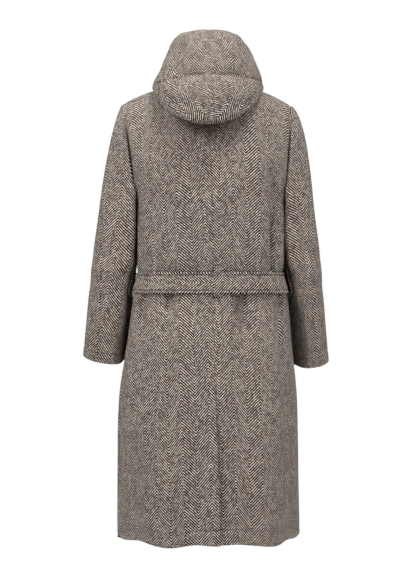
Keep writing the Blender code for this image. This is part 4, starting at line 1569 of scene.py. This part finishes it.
@dataclass(frozen=True)
class SleeveForm:
    """A set-in sleeve's form: squared ovals beside the body, and a cap that reaches to the armhole."""

    body: BodyForm
    squareness: float = 2.3
    skew: float = 0.14
    fold_inside: float = 0.6
    arm_lean: float = 0.1
    tilt_out: float = 0.18
    tilt_back: float = 0.17
    cap_top: Triple = (135, 0, -75)
    cap_under: Triple = (4, 0, -45)
    cap_side: Triple = (10, 30, -90)
    cap_landing: float = 0.9
    landing_step: float = 10
    wrap_turn: float = 236
    wrap_spread: float = 42
    hangs: Sides = Sides(Hang(3, 7, 9, 0.68, 0.6), Hang(-4, -4, -4, 1.0, 1.0))
    rings: tuple[Ring, ...] = (
        Ring("upper arm", -330, 284, 3.0, -58, 92, 45, 2),
        Ring("elbow", -410, 294, 5.0, -57, 92, 60, 8),
        Ring("belt", -480, 301, 19.0, -52, 92, 69, 26),
        Ring("forearm", -560, 309, 11.0, -47, 92, 74, 22),
        Ring("cuff", -695, 319, 7.0, -32, 95, 76, 12),
    )
    folds: tuple[SleeveFold, ...] = (
        SleeveFold("elbow trough", 100, 60, -405, 16, 0.25, -5),
        SleeveFold("elbow ridge", 90, 55, -440, 18, 0.25, 4),
        SleeveFold("forearm trough", 70, 60, -520, 20, -0.2, -3),
        SleeveFold("inner elbow trough", 280, 60, -430, 18, -0.2, -5),
    )

    def push(self, turn: Array, height: Array) -> Array:
        """How far the large folds push the sleeve out: bells in turn and in slanted height.

        Args:
            turn, height: Places on the sleeve.

        Returns:
            The push in mm.
        """
        push = np.zeros(np.broadcast(turn, height).shape)
        for fold in self.folds:
            off = off_turn(turn, fold.turn)
            level = (height - fold.height - fold.slant * off) / fold.height_spread
            push = push + fold.push * bell(off / fold.turn_spread) * bell(level)
        return push

    def ring(self, side: Side, turn: Array, height: Array) -> Array:
        """The sleeve below its cap; turn runs from outwards (0) over the back (90).

        Args:
            side: Which sleeve.
            turn, height: Places on it.

        Returns:
            Its points: ovals between the sleeve's reach and the body's side, tilted with the arm.
        """
        hang, rings = self.hangs.on(side), self.rings
        reached = smooth_step((rings[0].height - height) / (rings[0].height - rings[-1].height))
        outer, clear, back, front, wrap = read(rings, height, "outer", "clear", "back", "front", "wrap")
        outer = outer + hang.swing_top + (hang.swing_cuff - hang.swing_top) * reached
        half_width, shift = read(self.body.sections, height, "half_width", "shift")
        inner = half_width + side * shift + clear
        sine, cosine = sine_cosine(turn)
        stand_out = roundness(sine, cosine, self.squareness)
        push = self.push(turn, height) * np.clip(cosine + self.fold_inside, 0, 1)
        off_x = ((outer - inner) / 2 + push) * stand_out * cosine
        off_y = -((front - back) / 2 + push) * stand_out * sine
        near_body = bell(off_turn(turn, self.wrap_turn) / self.wrap_spread)
        wrap = wrap * hang.wrap_share * near_body
        x = (outer + inner) / 2 + off_x - self.skew * np.maximum(off_y, 0) - wrap
        z = height + hang.drop * reached + self.tilt_out * off_x + self.tilt_back * off_y
        return points(side * x, (back + front) / 2 + off_y, z)

    def cap(self, side: Side, turn: Array, t: Array) -> Array:
        """The sleeve's cap: cubics from the armhole seam (t=0) to the upper-arm ring (t=1).

        Args:
            side: Which sleeve.
            turn, t: Places on the cap.

        Returns:
            Its points.
        """
        seam = self.body.armhole(side, turn)
        sine, cosine = (part[..., None] for part in sine_cosine(turn))
        up = (1 + cosine) / 2
        mirror = points(side * self.hangs.on(side).cap_reach, 1, 1)
        sideways = np.array(self.cap_side) * np.concatenate([np.abs(sine), sine, np.abs(sine)], axis=-1)
        leaving = (up * np.array(self.cap_top) + (1 - up) * np.array(self.cap_under) + sideways) * mirror
        top = np.full_like(turn, self.rings[0].height)
        landing = self.ring(side, turn, top)
        onward = unit(self.ring(side, turn, top - self.landing_step) - landing)
        arriving = onward * np.linalg.norm(landing - seam, axis=-1, keepdims=True) * self.cap_landing
        return hermite(seam, landing, leaving, arriving, t[..., None])


@dataclass
class Sleeve:
    """One two-piece sleeve, with a seam down the outside of the arm, one under it and a turned-up cuff."""

    form: SleeveForm
    side: Side
    cap_length: float = 315
    arm_length: float = 365
    back_width: float = 190
    front_width: float = 225
    armhole_seam: float = 12
    under_seam: float = 200
    mm_per_degree: float = 1.1
    seam_dip: float = 1.2
    seam_spread: float = 2.0
    welt: float = 1.4
    welt_inset: float = 5.0
    welt_spread: float = 2.6
    weave_shifts: Sides = Sides(10.0, 34.6)
    armhole_dip: float = 2.0
    armhole_spread: float = 5.0
    armhole_fade: float = 12
    cuff_stitch: float = 24
    cuff_fade: float = 6
    mitre_reach: float = 9
    creases: tuple[Crease, ...] = (
        # Outer elbow, forearm, upper arm and cuff
        Crease(55, -392, 150, -424, 8, -2.4, 4),
        Crease(50, -452, 138, -434, 7, -1.9, -4),
        Crease(66, -548, 132, -526, 9, -1.6, 3),
        Crease(78, -250, 150, -292, 11, -1.7, 5),
        Crease(58, -640, 122, -618, 9, -1.2, -3),
        # Inner elbow and front of the arm
        Crease(236, -418, 322, -447, 8, -2.6, -4),
        Crease(232, -466, 300, -452, 7, -2.0, 4),
        Crease(300, -216, 248, -280, 10, -1.8, 4),
        Crease(300, -560, 246, -590, 9, -1.4, 3),
        # Fullness against the back
        Crease(128, -240, 129, -465, 20, 18.0),
    )
    own_creases: Sides = Sides(
        (
            # Left: a hollow by the armhole, fullness beside the skirt
            Crease(52, -92, 84, -186, 8, -2.6, -3),
            Crease(136, -430, 134, -640, 20, 8.0),
        ),
        (
            # Right: a drag from the cap, a hollow beside the skirt
            Crease(46, -84, 86, -142, 6, -2.8, 3),
            Crease(146, -540, 128, -760, 44, -16.0),
        ),
    )
    ripples: tuple[Ripple, ...] = (Ripple(83, 410, 0.55, 0.2), Ripple(139, -260, 0.5, 0.6))

    def grid(self, face: Face) -> tuple[Array, Array, Array]:
        """One piece's plain form, rows from the cuff to the armhole, with its turns and its armhole turns.

        Args:
            face: The back or the front piece.

        Returns:
            The points, the turn of each point, and the turns along the armhole seam.
        """
        width = self.back_width if face is Face.BACK else self.front_width
        share = EDGE_SHARE + (1 - 2 * EDGE_SHARE) * graded(width)
        rings = self.form.rings
        even = self.arm_length * graded(self.arm_length, True, False)
        up = with_fine(even, self.cuff_stitch, self.cuff_fade, STITCH_CELL)
        heights = (rings[-1].height + up / self.arm_length * (rings[0].height - rings[-1].height))[:, None]
        t = 1 - graded(self.cap_length, False, True)[1:, None]
        (arm_seam,) = read(rings, heights, "top_seam")
        cap_seam = self.armhole_seam + (rings[0].top_seam - self.armhole_seam) * t
        seam = np.concatenate([arm_seam, cap_seam])
        if face is Face.BACK:
            turn = seam + share * (self.under_seam - seam)
        else:
            turn = self.under_seam + share * (360 + seam - self.under_seam)
        arm_turn, cap_turn = turn[: len(heights)], turn[len(heights) :]
        arm = self.form.ring(self.side, arm_turn, heights + 0 * arm_turn)
        cap = self.form.cap(self.side, cap_turn, t + 0 * cap_turn)
        return np.concatenate([arm, cap]), turn, turn[-1]

    def weave(self, face: Face, base: Array, outward: Array) -> Array:
        """The weave map: the back's grain runs up the arm, and the front's up its outer seam.

        Args:
            face: The back or the front piece.
            base: The piece's plain form.
            outward: Its outward directions.

        Returns:
            Two coordinates for each point.
        """
        if face is Face.FRONT:
            across = run_lengths(base, 1)
            return np.stack([across - across[:, [-1]], run_lengths(base, 0)], axis=-1)
        arm = unit(points(-self.side * self.form.arm_lean, 0, 1))
        weave = grain_map(base, outward, arm, base.shape[1] // 2)
        weave[..., 0] += self.weave_shifts.on(self.side)
        return weave

    def cloth(self, face: Face) -> Cloth:
        """One piece's finished cloth.

        Args:
            face: The back or the front piece.

        Returns:
            The cloth.
        """
        base, turn, seam_turn = self.grid(face)
        outward = facing(base, -self.side)
        across, up = run_lengths(base, 1), run_lengths(base, 0)
        weave = self.weave(face, base, outward)
        creases = (*self.creases, *self.own_creases.on(self.side))
        height = base[..., 2]
        push = crease_push(creases, turn % 360, height, self.mm_per_degree, True)
        push = push + ripple_push(self.ripples, turn * self.mm_per_degree, height)
        from_armhole = up[-1] - up
        push = push * smooth_step(from_armhole / self.armhole_fade)
        edge = np.minimum(across, across[:, [-1]] - across)
        push = push - self.seam_dip * bell(edge / self.seam_spread)
        push = push + self.welt * bell((edge - self.welt_inset) / self.welt_spread)
        push = push - self.armhole_dip * bell(from_armhole / self.armhole_spread)
        push = push + hem_relief(up, self.cuff_stitch, self.cuff_fade)
        outer = moved(base, outward, push)
        if face is Face.BACK:
            outer += self.form.body.armhole_crease(self.side, seam_turn + 0 * from_armhole, from_armhole)
        mitre = self.form.body.armhole_inward(self.side, seam_turn)
        inward = turned(-outward, mitre, from_armhole, self.mitre_reach)
        outer[-1, :, 0] += self.side * HALF_GAP
        name = f"sleeve_{self.side.word}_{face.value}_cloth"
        return Cloth(name, outer, inward, weave, WALL, {Edge.FOOT: 1.0})

    def build(self, wool: Material) -> Lines:
        """Build both pieces and let them ride on the coat.

        Args:
            wool: The coat's cloth.

        Returns:
            The cuff's stitch lines.
        """
        lines = []
        for face in Face:
            cloth = self.cloth(face)
            place_cloth(cloth, [f"sleeve_{self.side.word}_{face.value}"], wool)
            row = nearest(np.mean(cloth.weave[..., 1], axis=1), self.cuff_stitch)
            lines.append((cloth.outer[row], -cloth.inward[row]))
        return lines


@dataclass
class Hood:
    """The two-piece hood: up, with a crease across the back and a roll slouched over the back neck."""

    body: BodyForm
    squareness: float = 2.2
    rise_power: float = 1.25
    cells_per_row: int = 10
    back_width: float = 235
    front_width: float = 140
    crease_row: int = 7
    crease_depth: float = 3.4
    crease_spread: float = 3.4
    crease_fade: Pair = (175, 45)
    drops: Sides = Sides(17, 7)
    net: tuple[int, int] = (4, 4)
    grain_rows: tuple[int, int] = (5, 10)
    weave_shift: float = 6.0
    seam_dip: float = 1.3
    seam_spread: float = 2.6
    seam_fade: float = 10
    neck_fade: float = 25
    mitre_reach: float = 12
    neck_parting: float = 0.25
    seam_half_gap: float = 0.02
    middle: Triple = (0, 0, 60)
    seam_corner: float = 0.3
    rows: tuple[HoodRow, ...] = (
        HoodRow("neck seam", -62, -10, 92, 8, 14, 19, 90, -55, 2.0, 0),
        HoodRow("under the roll", -104, -30, 114, 2, 28, 20, 96, -41, 3.6, 0),
        HoodRow("inside of the roll", -143, -88, 133, -8, 17, 23, 101, -28, 3.6, 0),
        HoodRow("foot of the roll", -161, -100, 138, -12, 12, 26, 104, -16, 3.8, 0),
        HoodRow("low on the roll", -172, -90, 141, -15, 12, 30, 107, -4, 3.6, 0),
        HoodRow("bulge of the roll", -175, -44, 143, -17, 15, 36, 110, 10, 3.4, 0),
        HoodRow("top of the roll", -171, -3, 141, -18, 22, 45, 112, 26, 3.2, 0),
        HoodRow("crease", -153, 26, 139, -18, 31, 55, 113, 44, 3.0, 1),
        HoodRow("above the crease", -150.5, 52, 127, -18, 57, 66, 113, 66, 2.6, 4),
        HoodRow("upper back", -141, 92, 113, -18, 91, 74, 111, 94, 2.2, 4),
        HoodRow("crown", -121, 129, 95, -18, 125, 74, 107, 119, 2.2, 1),
        HoodRow("crown edge", -88, 149, 75, -18, 147, 54, 104, 138, 2.2, 0),
        HoodRow("crest", -52, 157, 0, -18, 157, 0, 102, 150, 2.2, 0),
    )
    creases: tuple[Crease, ...] = (
        # Puckers at the roll's foot
        Crease(10, -150, 34, -96, 7, -1.6, 3),
        Crease(44, -152, 62, -104, 8, -1.3, -3),
        # Fans from the crease, and slack over it
        Crease(60, -8, 96, -70, 10, -1.7, 5),
        Crease(120, -6, 150, -58, 10, -1.9, 5),
        Crease(70, 14, 176, 26, 9, -1.5, 4),
        # Crown and cheeks
        Crease(40, 128, 120, 96, 13, -1.2, 6),
        Crease(228, 6, 300, -40, 10, -2.0, 5),
        Crease(246, 40, 318, 8, 10, -1.6, -5),
    )
    ripples: tuple[Ripple, ...] = (Ripple(121, 187, 0.6, 0.3), Ripple(73, -143, 0.4, 0.8))
    waver: tuple[Ripple, ...] = (Ripple(71, 93, 0.9, 0.1), Ripple(37, -53, 0.5, 0.6))
    # How the left half differs: its weave slips, and its folds slide, lift and narrow
    slips: Sides = Sides((17.3, 3.5), (0.0, 0.0))
    changes: Sides = Sides((22.2, 3.33, 0.0222), (0.0, 0.0, 0.0))

    def turns(self) -> tuple[Array, Array]:
        """The grid's columns: turns from the back seam to the side, then from the side to the face."""
        back = 90 * graded(self.back_width, True, False)
        return back, 90 + (self.body.front_turn - 90) * graded(self.front_width, False, True)[1:]

    def form(self) -> tuple[Array, Array, Array]:
        """The right half's plain form: each row a squared quarter oval behind and a cosine sweep in front.

        Returns:
            The points, their outward directions and the lean of each row.
        """
        back_turn, front_turn = self.turns()
        knots = np.arange(len(self.rows))
        at = np.linspace(0, len(self.rows) - 1, (len(self.rows) - 1) * self.cells_per_row + 1)
        row = {
            name: curve_through(knots, [getattr(r, name) for r in self.rows], at)[:, None]
            for name in HoodRow._fields[1:]
        }
        sine, cosine = sine_cosine(back_turn)
        stand_out = roundness(sine, cosine, self.squareness)
        back = points(
            row["side_x"] * stand_out * sine,
            row["side_y"] + (row["back_y"] - row["side_y"]) * stand_out * cosine,
            row["side_z"] + (row["back_z"] - row["side_z"]) * np.abs(cosine) ** self.rise_power,
        )
        edge_sine, edge_cosine = sine_cosine(self.body.front_turn)
        sine, cosine = sine_cosine(front_turn)
        outwards, forward = (sine - edge_sine) / (1 - edge_sine), cosine / edge_cosine
        front = points(
            row["front_x"] + (row["side_x"] - row["front_x"]) * outwards,
            row["side_y"] + (row["front_y"] - row["side_y"]) * forward,
            row["side_z"] + (row["front_z"] - row["side_z"]) * forward ** row["dip"],
        )
        base = np.concatenate([back, front], axis=1)
        halves = ((Face.BACK, back_turn), (Face.FRONT, front_turn))
        neck = [self.body.neckline(Side.RIGHT, face, turn) for face, turn in halves]
        base[0] = np.concatenate(neck) + points(0, 0, self.neck_parting)
        base[..., 0] = np.maximum(base[..., 0], self.seam_half_gap)
        outward = facing(base, 1)
        outward[base[..., 0] <= self.seam_half_gap, 0] = 0
        corner = np.linalg.norm(outward, axis=-1) < self.seam_corner
        outward[corner] = (base - np.array(self.middle))[corner]
        return base, unit(outward), points(row["lean"], 0, 0)

    def cloth(self, side: Side) -> Cloth:
        """One half's finished cloth, worked out on the right and mirrored for the left.

        Args:
            side: Which half.

        Returns:
            The cloth.
        """
        base, outward, lean = self.form()
        up = run_lengths(base, 0)
        crease = self.crease_row * self.cells_per_row
        up = up - up[crease]
        around = run_lengths(base, 1)
        slide, lift, narrowing = self.changes.on(side)
        flat = laid_flat(base, self.net)
        foot, head = (flat[row * self.cells_per_row, 0] for row in self.grain_rows)
        x, y = unit(head - foot)
        upright = np.array([[y, x], [-x, y]])
        weave = (flat - flat[crease, 0]) @ upright + np.array(self.slips.on(side))
        weave[..., 0] += self.weave_shift + ripple_push(self.waver, around + slide, up)
        weave[..., 1] += ripple_push(self.waver, up + slide, around)
        push = crease_push(self.creases, around * (1 - narrowing), up + lift)
        push = push + ripple_push(self.ripples, around + slide, up)
        fade_start, fade_length = self.crease_fade
        drop = self.drops.on(side) * smooth_step(around / fade_start)
        line = bell((up + drop) / self.crease_spread) * (1 - smooth_step((around - fade_start) / fade_length))
        push = push - self.crease_depth * line
        seam = np.minimum(around, np.where(up > 0, up[-1] - up, around))
        push = push * smooth_step(seam / self.seam_fade) * smooth_step((up - up[0]) / self.neck_fade)
        push = push - self.seam_dip * bell(seam / self.seam_spread)
        outer = moved(base, outward, push)
        outer[..., 0] = np.maximum(outer[..., 0], self.seam_half_gap)
        neck_inward = np.array([0, self.body.neck_side[0], 0]) - base[0]
        neck_inward[:, 2] = 0
        inward = turned(-outward, unit(neck_inward), up - up[0], self.mitre_reach)
        mirror = points(side, 1, 1)
        name = f"hood_{side.word}_cloth"
        return Cloth(name, outer * mirror + lean, inward * mirror, weave, WALL, {Edge.END: 1.0})

    def build(self, wool: Material) -> None:
        """Build both halves and let them ride on the coat."""
        for side in Side:
            place_cloth(self.cloth(side), [f"hood_{side.word}"], wool)


@dataclass
class Belt:
    """The self-fabric belt round the waist, its three loops, and the tie in front with its two ends."""

    body: BodyForm
    clear: float = 0.5
    wall: float = 4.0
    end_angle: float = 170
    stitch_inset: float = 5.5
    groove: float = 1.9
    groove_spread: float = 1.7
    edge_swell: float = 0.9
    edge_fade: float = 2.5
    rows: int = 42
    columns: int = 289
    loop_wall: float = 2.5
    loop_seat: float = 0.4
    loop_shoulder: float = 0.75
    loop_shift: float = 51.9
    loop_groove: float = 0.5
    loop_inset: float = 3.5
    loop_spread: float = 1.2
    loop_cells: int = 44
    loop_columns: int = 10
    loops: tuple[Loop, ...] = (
        Loop("belt_loop_back", 6.1, 3.25, 0.5),
        Loop("belt_loop_left", -80.5, 2.7, 8),
        Loop("belt_loop_right", 80.5, 2.7, 8),
    )
    knot_half_height: float = 31
    knot_depth: float = 22
    knot_squareness: float = 3.8
    knot_rings: int = 56
    knot_turns: int = 96
    knot_front: float = 4
    wrap_slant: float = 0.35
    wrap_half: float = 15
    wrap_step: float = 2.2
    wrap_edge: float = 3
    wrap_groove: float = 1.4
    wrap_groove_spread: float = 2
    rib_depth: float = 0.5
    rib_spacing: float = 3.1
    fold_depth: float = 0.9
    fold_spacing: float = 5.2
    fold_slant: float = 0.06
    fold_fade: float = 6
    tail_width: float = 46
    tail_length: float = 290
    tail_clear: float = 0.7
    tail_drop: float = 0.7
    tail_lift: float = 5
    tail_parting: float = 1.5
    tail_belly: Triple = (0.6, 1, 0.8)
    splays: Sides = Sides(26, 32)

    def edge_relief(self, inset: Array) -> Array:
        """How far an edge-stitched band stands out: a swell outside the stitch line and a groove along it."""
        swell = self.edge_swell * smooth_step((self.stitch_inset - inset) / self.edge_fade)
        return swell - self.groove * bell((inset - self.stitch_inset) / self.groove_spread)

    def band(self) -> tuple[Cloth, Lines]:
        """The belt: the body's form at the waist, moved out.

        Returns:
            Its cloth and its two stitch lines.
        """
        heights = np.linspace(BELT_FOOT, BELT_TOP, self.rows + 1)[:, None]
        angle = np.linspace(-self.end_angle, self.end_angle, self.columns + 1)
        base = self.body.torso(angle, heights)
        outward = facing(base, 1)
        inset = np.minimum(heights - BELT_FOOT, BELT_TOP - heights) + 0 * angle
        outer = moved(base, outward, self.clear + self.wall + self.edge_relief(inset))
        along = run_lengths(base, 1)[len(heights) // 2]
        weave = np.stack([heights - BELT_MIDDLE + 0 * angle, along + 0 * heights], axis=-1)
        free = {edge: 1.0 for edge in (Edge.FOOT, Edge.TOP)}
        cloth = Cloth("belt_cloth", outer, -outward, weave, self.wall, free)
        row = nearest(heights, BELT_FOOT + self.stitch_inset)
        return cloth, [(outer[row], outward[row]) for row in (row, self.rows - row)]

    def loop(self, loop: Loop) -> Cloth:
        """One belt loop: seated on the coat above and below the belt, and lifted over it between.

        Args:
            loop: The loop's place.

        Returns:
            Its cloth.
        """
        over = self.clear + self.wall + loop.stand_off
        knots = [LOOP_FOOT, BELT_FOOT, BELT_MIDDLE, BELT_TOP, (BELT_TOP + LOOP_TOP) / 2, LOOP_TOP]
        lifts = [self.loop_seat, over, over, over, over * self.loop_shoulder, self.loop_seat]
        heights = np.linspace(LOOP_FOOT, LOOP_TOP, self.loop_cells + 1)[:, None]
        angle = loop.angle + np.linspace(-loop.half_angle, loop.half_angle, self.loop_columns + 1)
        base = self.body.torso(angle, heights)
        outward = facing(base, 1)
        outer = moved(base, outward, curve_through(knots, lifts, heights) + self.loop_wall)
        across, along = run_lengths(outer, 1), run_lengths(outer, 0)
        across = across - across[:, [self.loop_columns // 2]]
        edge = np.max(np.abs(across), axis=1, keepdims=True) - np.abs(across)
        outer = moved(outer, outward, -self.loop_groove * bell((edge - self.loop_inset) / self.loop_spread))
        weave = np.stack([across + self.loop_shift, along], axis=-1)
        free = {edge_name: 1.0 for edge_name in (Edge.START, Edge.END)}
        return Cloth(f"{loop.node}_cloth", outer, -outward, weave, self.loop_wall, free)

    def knot(self, material: Material) -> bpy.types.Object:
        """The tie: a squared pillow between the belt's ends, wrapped by a slanted band with folds beside it.

        Args:
            material: The belt's cloth.

        Returns:
            The object.
        """
        ends = np.array([-self.end_angle, self.end_angle])
        ends = self.body.torso(ends, np.array(float(BELT_FOOT)))[:, 0]
        half_width = (ends[1] - ends[0]) / 2 - 2 * SEAM_GAP
        turn = np.linspace(0, 2 * np.pi, self.knot_turns, endpoint=False)
        tilt = np.linspace(0, np.pi, self.knot_rings)[1:-1, None]
        swell = roundness(np.sin(tilt), np.cos(tilt), self.knot_squareness)
        ring, level = np.sin(tilt) * swell, np.cos(tilt) * swell
        stand_out = roundness(np.sin(turn), np.cos(turn), self.knot_squareness)
        seat = self.body.torso(np.array(180.0), BELT_MIDDLE + self.knot_half_height * level)[..., 1]
        middle_y = np.max(seat + self.knot_depth / 2 * ring) + SEAM_GAP
        middle = np.array([ends.mean(), middle_y, BELT_MIDDLE])
        body = points(
            half_width * ring * np.cos(turn) * stand_out,
            self.knot_depth / 2 * ring * np.sin(turn) * stand_out,
            self.knot_half_height * level,
        )
        in_front = smooth_step(body[..., 1] / self.knot_front)
        slant = body[..., 0] - self.wrap_slant * body[..., 2]
        wrap = np.abs(slant) - self.wrap_half
        folds = np.sin(body[..., 2] / self.fold_spacing + self.fold_slant * slant)
        sunk = (
            self.wrap_step * smooth_step(wrap / self.wrap_edge)
            + self.fold_depth * folds * smooth_step(wrap / self.fold_fade)
            + self.wrap_groove * bell(wrap / self.wrap_groove_spread)
            - self.rib_depth * np.cos(slant / self.rib_spacing) * (wrap < 0)
        )
        body[..., 1] -= in_front * np.clip(sunk, 0, None)
        poles = np.array([[0, 0, self.knot_half_height], [0, 0, -self.knot_half_height]])
        vertices = middle + np.concatenate([body.reshape(-1, 3), poles])
        count = body[..., 0].size
        number = np.arange(count).reshape(body.shape[:2])
        top, foot = number[0], number[-1]
        caps = [(np.full_like(top, count), top, np.roll(top, -1))]
        caps += [(np.full_like(foot, count + 1), np.roll(foot, -1), foot)]
        caps = np.concatenate([np.stack(cap, axis=-1) for cap in caps])
        faces = tube_faces(number).tolist() + caps.tolist()
        return mesh_object("belt_knot_wrap", vertices, faces, material, vertices[:, [2, 0]])

    def tail(self, side: Side) -> tuple[Cloth, Lines]:
        """One free end of the belt, hanging from the tie over the fronts and splayed to its side.

        Args:
            side: Which end.

        Returns:
            Its cloth and its stitch lines.
        """
        down = 1 - graded(self.tail_length, True, False)[:, None]
        heights = BELT_MIDDLE - self.knot_half_height - self.tail_drop - self.tail_length * down
        across = (graded(self.tail_width) - 0.5) * self.tail_width
        x = side * (self.tail_width / 2 + self.tail_parting + self.splays.on(side) * down) + across
        shift, half_width = read(self.body.sections, heights, "shift", "half_width")
        base = self.body.torso(180 - np.degrees(np.arcsin((x - shift) / half_width)), heights)
        outward = facing(base, -1)
        belly = np.interp(across / self.tail_width, [-0.5, 0, 0.5], self.tail_belly)
        inset = np.minimum(self.tail_width / 2 - np.abs(across), (1 - down) * self.tail_length)
        lift = self.tail_clear + self.tail_lift * np.sin(np.pi * down) * belly
        outer = moved(base, outward, lift + self.wall + self.edge_relief(inset))
        up = run_lengths(base, 0)
        weave = np.stack([across + 0 * up, up], axis=-1)
        free = {edge: 1.0 for edge in (Edge.FOOT, Edge.START, Edge.END)}
        cloth = Cloth(f"belt_end_{side.word}_cloth", outer, -outward, weave, self.wall, free)
        stitched = self.tail_width / 2 - self.stitch_inset
        first, last = (nearest(across, place) for place in (-stitched, stitched))
        row = nearest(up[:, 0], self.stitch_inset)
        runs = (np.s_[row:, first], np.s_[row:, last], np.s_[row, first : last + 1])
        return cloth, [(outer[run], outward[run]) for run in runs]

    def build(self, wool: Material) -> Lines:
        """Args:
            wool: The belt's cloth.

        Returns:
            The stitch lines of the belt and its ends.
        """
        band, lines = self.band()
        place_cloth(band, ["belt"], wool)
        for loop in self.loops:
            place_cloth(self.loop(loop), [loop.node], wool)
        place_piece(self.knot(wool), ["belt_knot"])
        for side in Side:
            tail, tail_lines = self.tail(side)
            place_cloth(tail, [f"belt_end_{side.word}"], wool)
            lines += tail_lines
        return lines


def place_piece(piece: bpy.types.Object, nodes: list[str]) -> None:
    """Let a piece ride on the coat, in place of the nodes it dresses.

    Args:
        piece: The finished object.
        nodes: The frame's nodes that it replaces; none for an addition.
    """
    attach(piece, BODY)
    if nodes:
        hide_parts(*nodes)
    piece.data.calc_loop_triangles()
    LOG.info("%s: %d triangles", piece.name, len(piece.data.loop_triangles))


def place_cloth(cloth: Cloth, nodes: list[str], wool: Material) -> None:
    """Build a cloth and let it ride on the coat.

    Args:
        cloth: The cloth.
        nodes: The frame's nodes that it replaces.
        wool: Its finish.
    """
    piece = cloth.build(wool)
    place_piece(piece, nodes)


@dataclass
class Studio:
    """A pale floor, soft lights from the sides, above and on the hood, and a camera at the photo's angle."""

    camera_y: float = -3.3
    camera_z: float = -0.5044
    picture_mm: float = 2.6 * 576
    sensor: float = 36.0
    floor_z: float = -1.48
    floor_half: float = 1.5
    floor_near: float = -1.5
    floor_far: float = 0.8
    ambient: float = 0.33
    white: str = "#fbfaf8"
    lamps: tuple[Lamp, ...] = (
        Lamp("left light", (-2.3, -2.1, 1.4), 1.5, 69.0),
        Lamp("right light", (2.3, -2.1, 1.3), 1.5, 41.0),
        Lamp("top light", (0.65, -1.0, 2.3), 0.6, 56.0),
        Lamp("hood light", (-0.95, -0.75, 0.7), 0.6, 3.8),
    )
    aim: Triple = (0.0, 0.0, -0.45)

    def floor(self) -> None:
        """A plain sheet of paper under the coat, out of the main picture."""
        half, near, far = self.floor_half, self.floor_near, self.floor_far
        vertices = points([-half, half, half, -half], [near, near, far, far], self.floor_z) / MM
        mesh_object("floor", vertices, [[0, 1, 2, 3]], StudioPaper().material())

    def world(self) -> None:
        """White to the camera and dimmer as light, as in a cut-out picture."""
        world = bpy.data.worlds.new("studio")
        bpy.context.scene.world = world
        world.use_nodes = True
        world.node_tree.nodes.clear()
        add = partial(add_node, world.node_tree)
        seen = add("Background", (1, 1, 1, 1), 1.0)
        light = add("Background", linear(self.white), self.ambient)
        path = add("LightPath", output="Is Camera Ray")
        add("OutputWorld", add("MixShader", path, light, seen))

    def light(self, lamp: Lamp) -> None:
        """Set up one light, aimed at the coat.

        Args:
            lamp: The light's place, size and power.
        """
        light = bpy.data.lights.new(lamp.name, "AREA")
        light.shape = "DISK"
        light.size = lamp.size
        light.energy = lamp.power
        holder = bpy.data.objects.new(lamp.name, light)
        holder.location = lamp.place
        holder.rotation_euler = (Vector(self.aim) - Vector(lamp.place)).to_track_quat("-Z", "Y").to_euler()
        bpy.context.scene.collection.objects.link(holder)

    def camera(self) -> None:
        """The camera, level with the coat's middle; its lens fits the picture's height at the coat."""
        camera = bpy.data.cameras.new("camera")
        camera.sensor_fit = "VERTICAL"
        camera.sensor_height = self.sensor
        camera.lens = self.sensor * abs(self.camera_y) / (self.picture_mm * MM)
        holder = bpy.data.objects.new("camera", camera)
        holder.location = (0, self.camera_y, self.camera_z)
        holder.rotation_euler = (np.pi / 2, 0, 0)
        bpy.context.scene.collection.objects.link(holder)
        bpy.context.scene.camera = holder

    def build(self) -> None:
        """Set up the whole studio."""
        self.floor()
        self.world()
        for lamp in self.lamps:
            self.light(lamp)
        self.camera()
        bpy.context.scene.view_settings.view_transform = "Standard"


def main() -> None:
    """Build the coat in order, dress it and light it."""
    logging.basicConfig(level=logging.INFO, format="%(message)s")
    wool = HerringboneWool().material()
    belt_wool = HerringboneWool(name="herringbone_wool_tweed_doubled").material(DOUBLED_TONE)
    thread = SewingThread().material()
    body = BodyForm()
    lines = CoatBody(body, BodyDrape()).build(wool)
    for side in Side:
        lines += Sleeve(SleeveForm(body), side).build(wool)
    # The hood is handled most, so its cloth is brushed: its lines stray and its yarns differ more
    brushed = HerringboneWool(
        name="herringbone_wool_tweed_brushed",
        twill=6.95,
        float_shades=(0.37, 1.66),
        stray=2.2,
        stray_length=14.0,
    )
    Hood(body).build(brushed.material())
    belt_lines = Belt(body).build(belt_wool)
    stitches = StitchRun()
    place_piece(stitches.build("coat_stitching", lines, thread), [])
    place_piece(stitches.build("belt_stitching", belt_lines, thread), [])
    Studio().build()


if __name__ == "__main__":
    main()
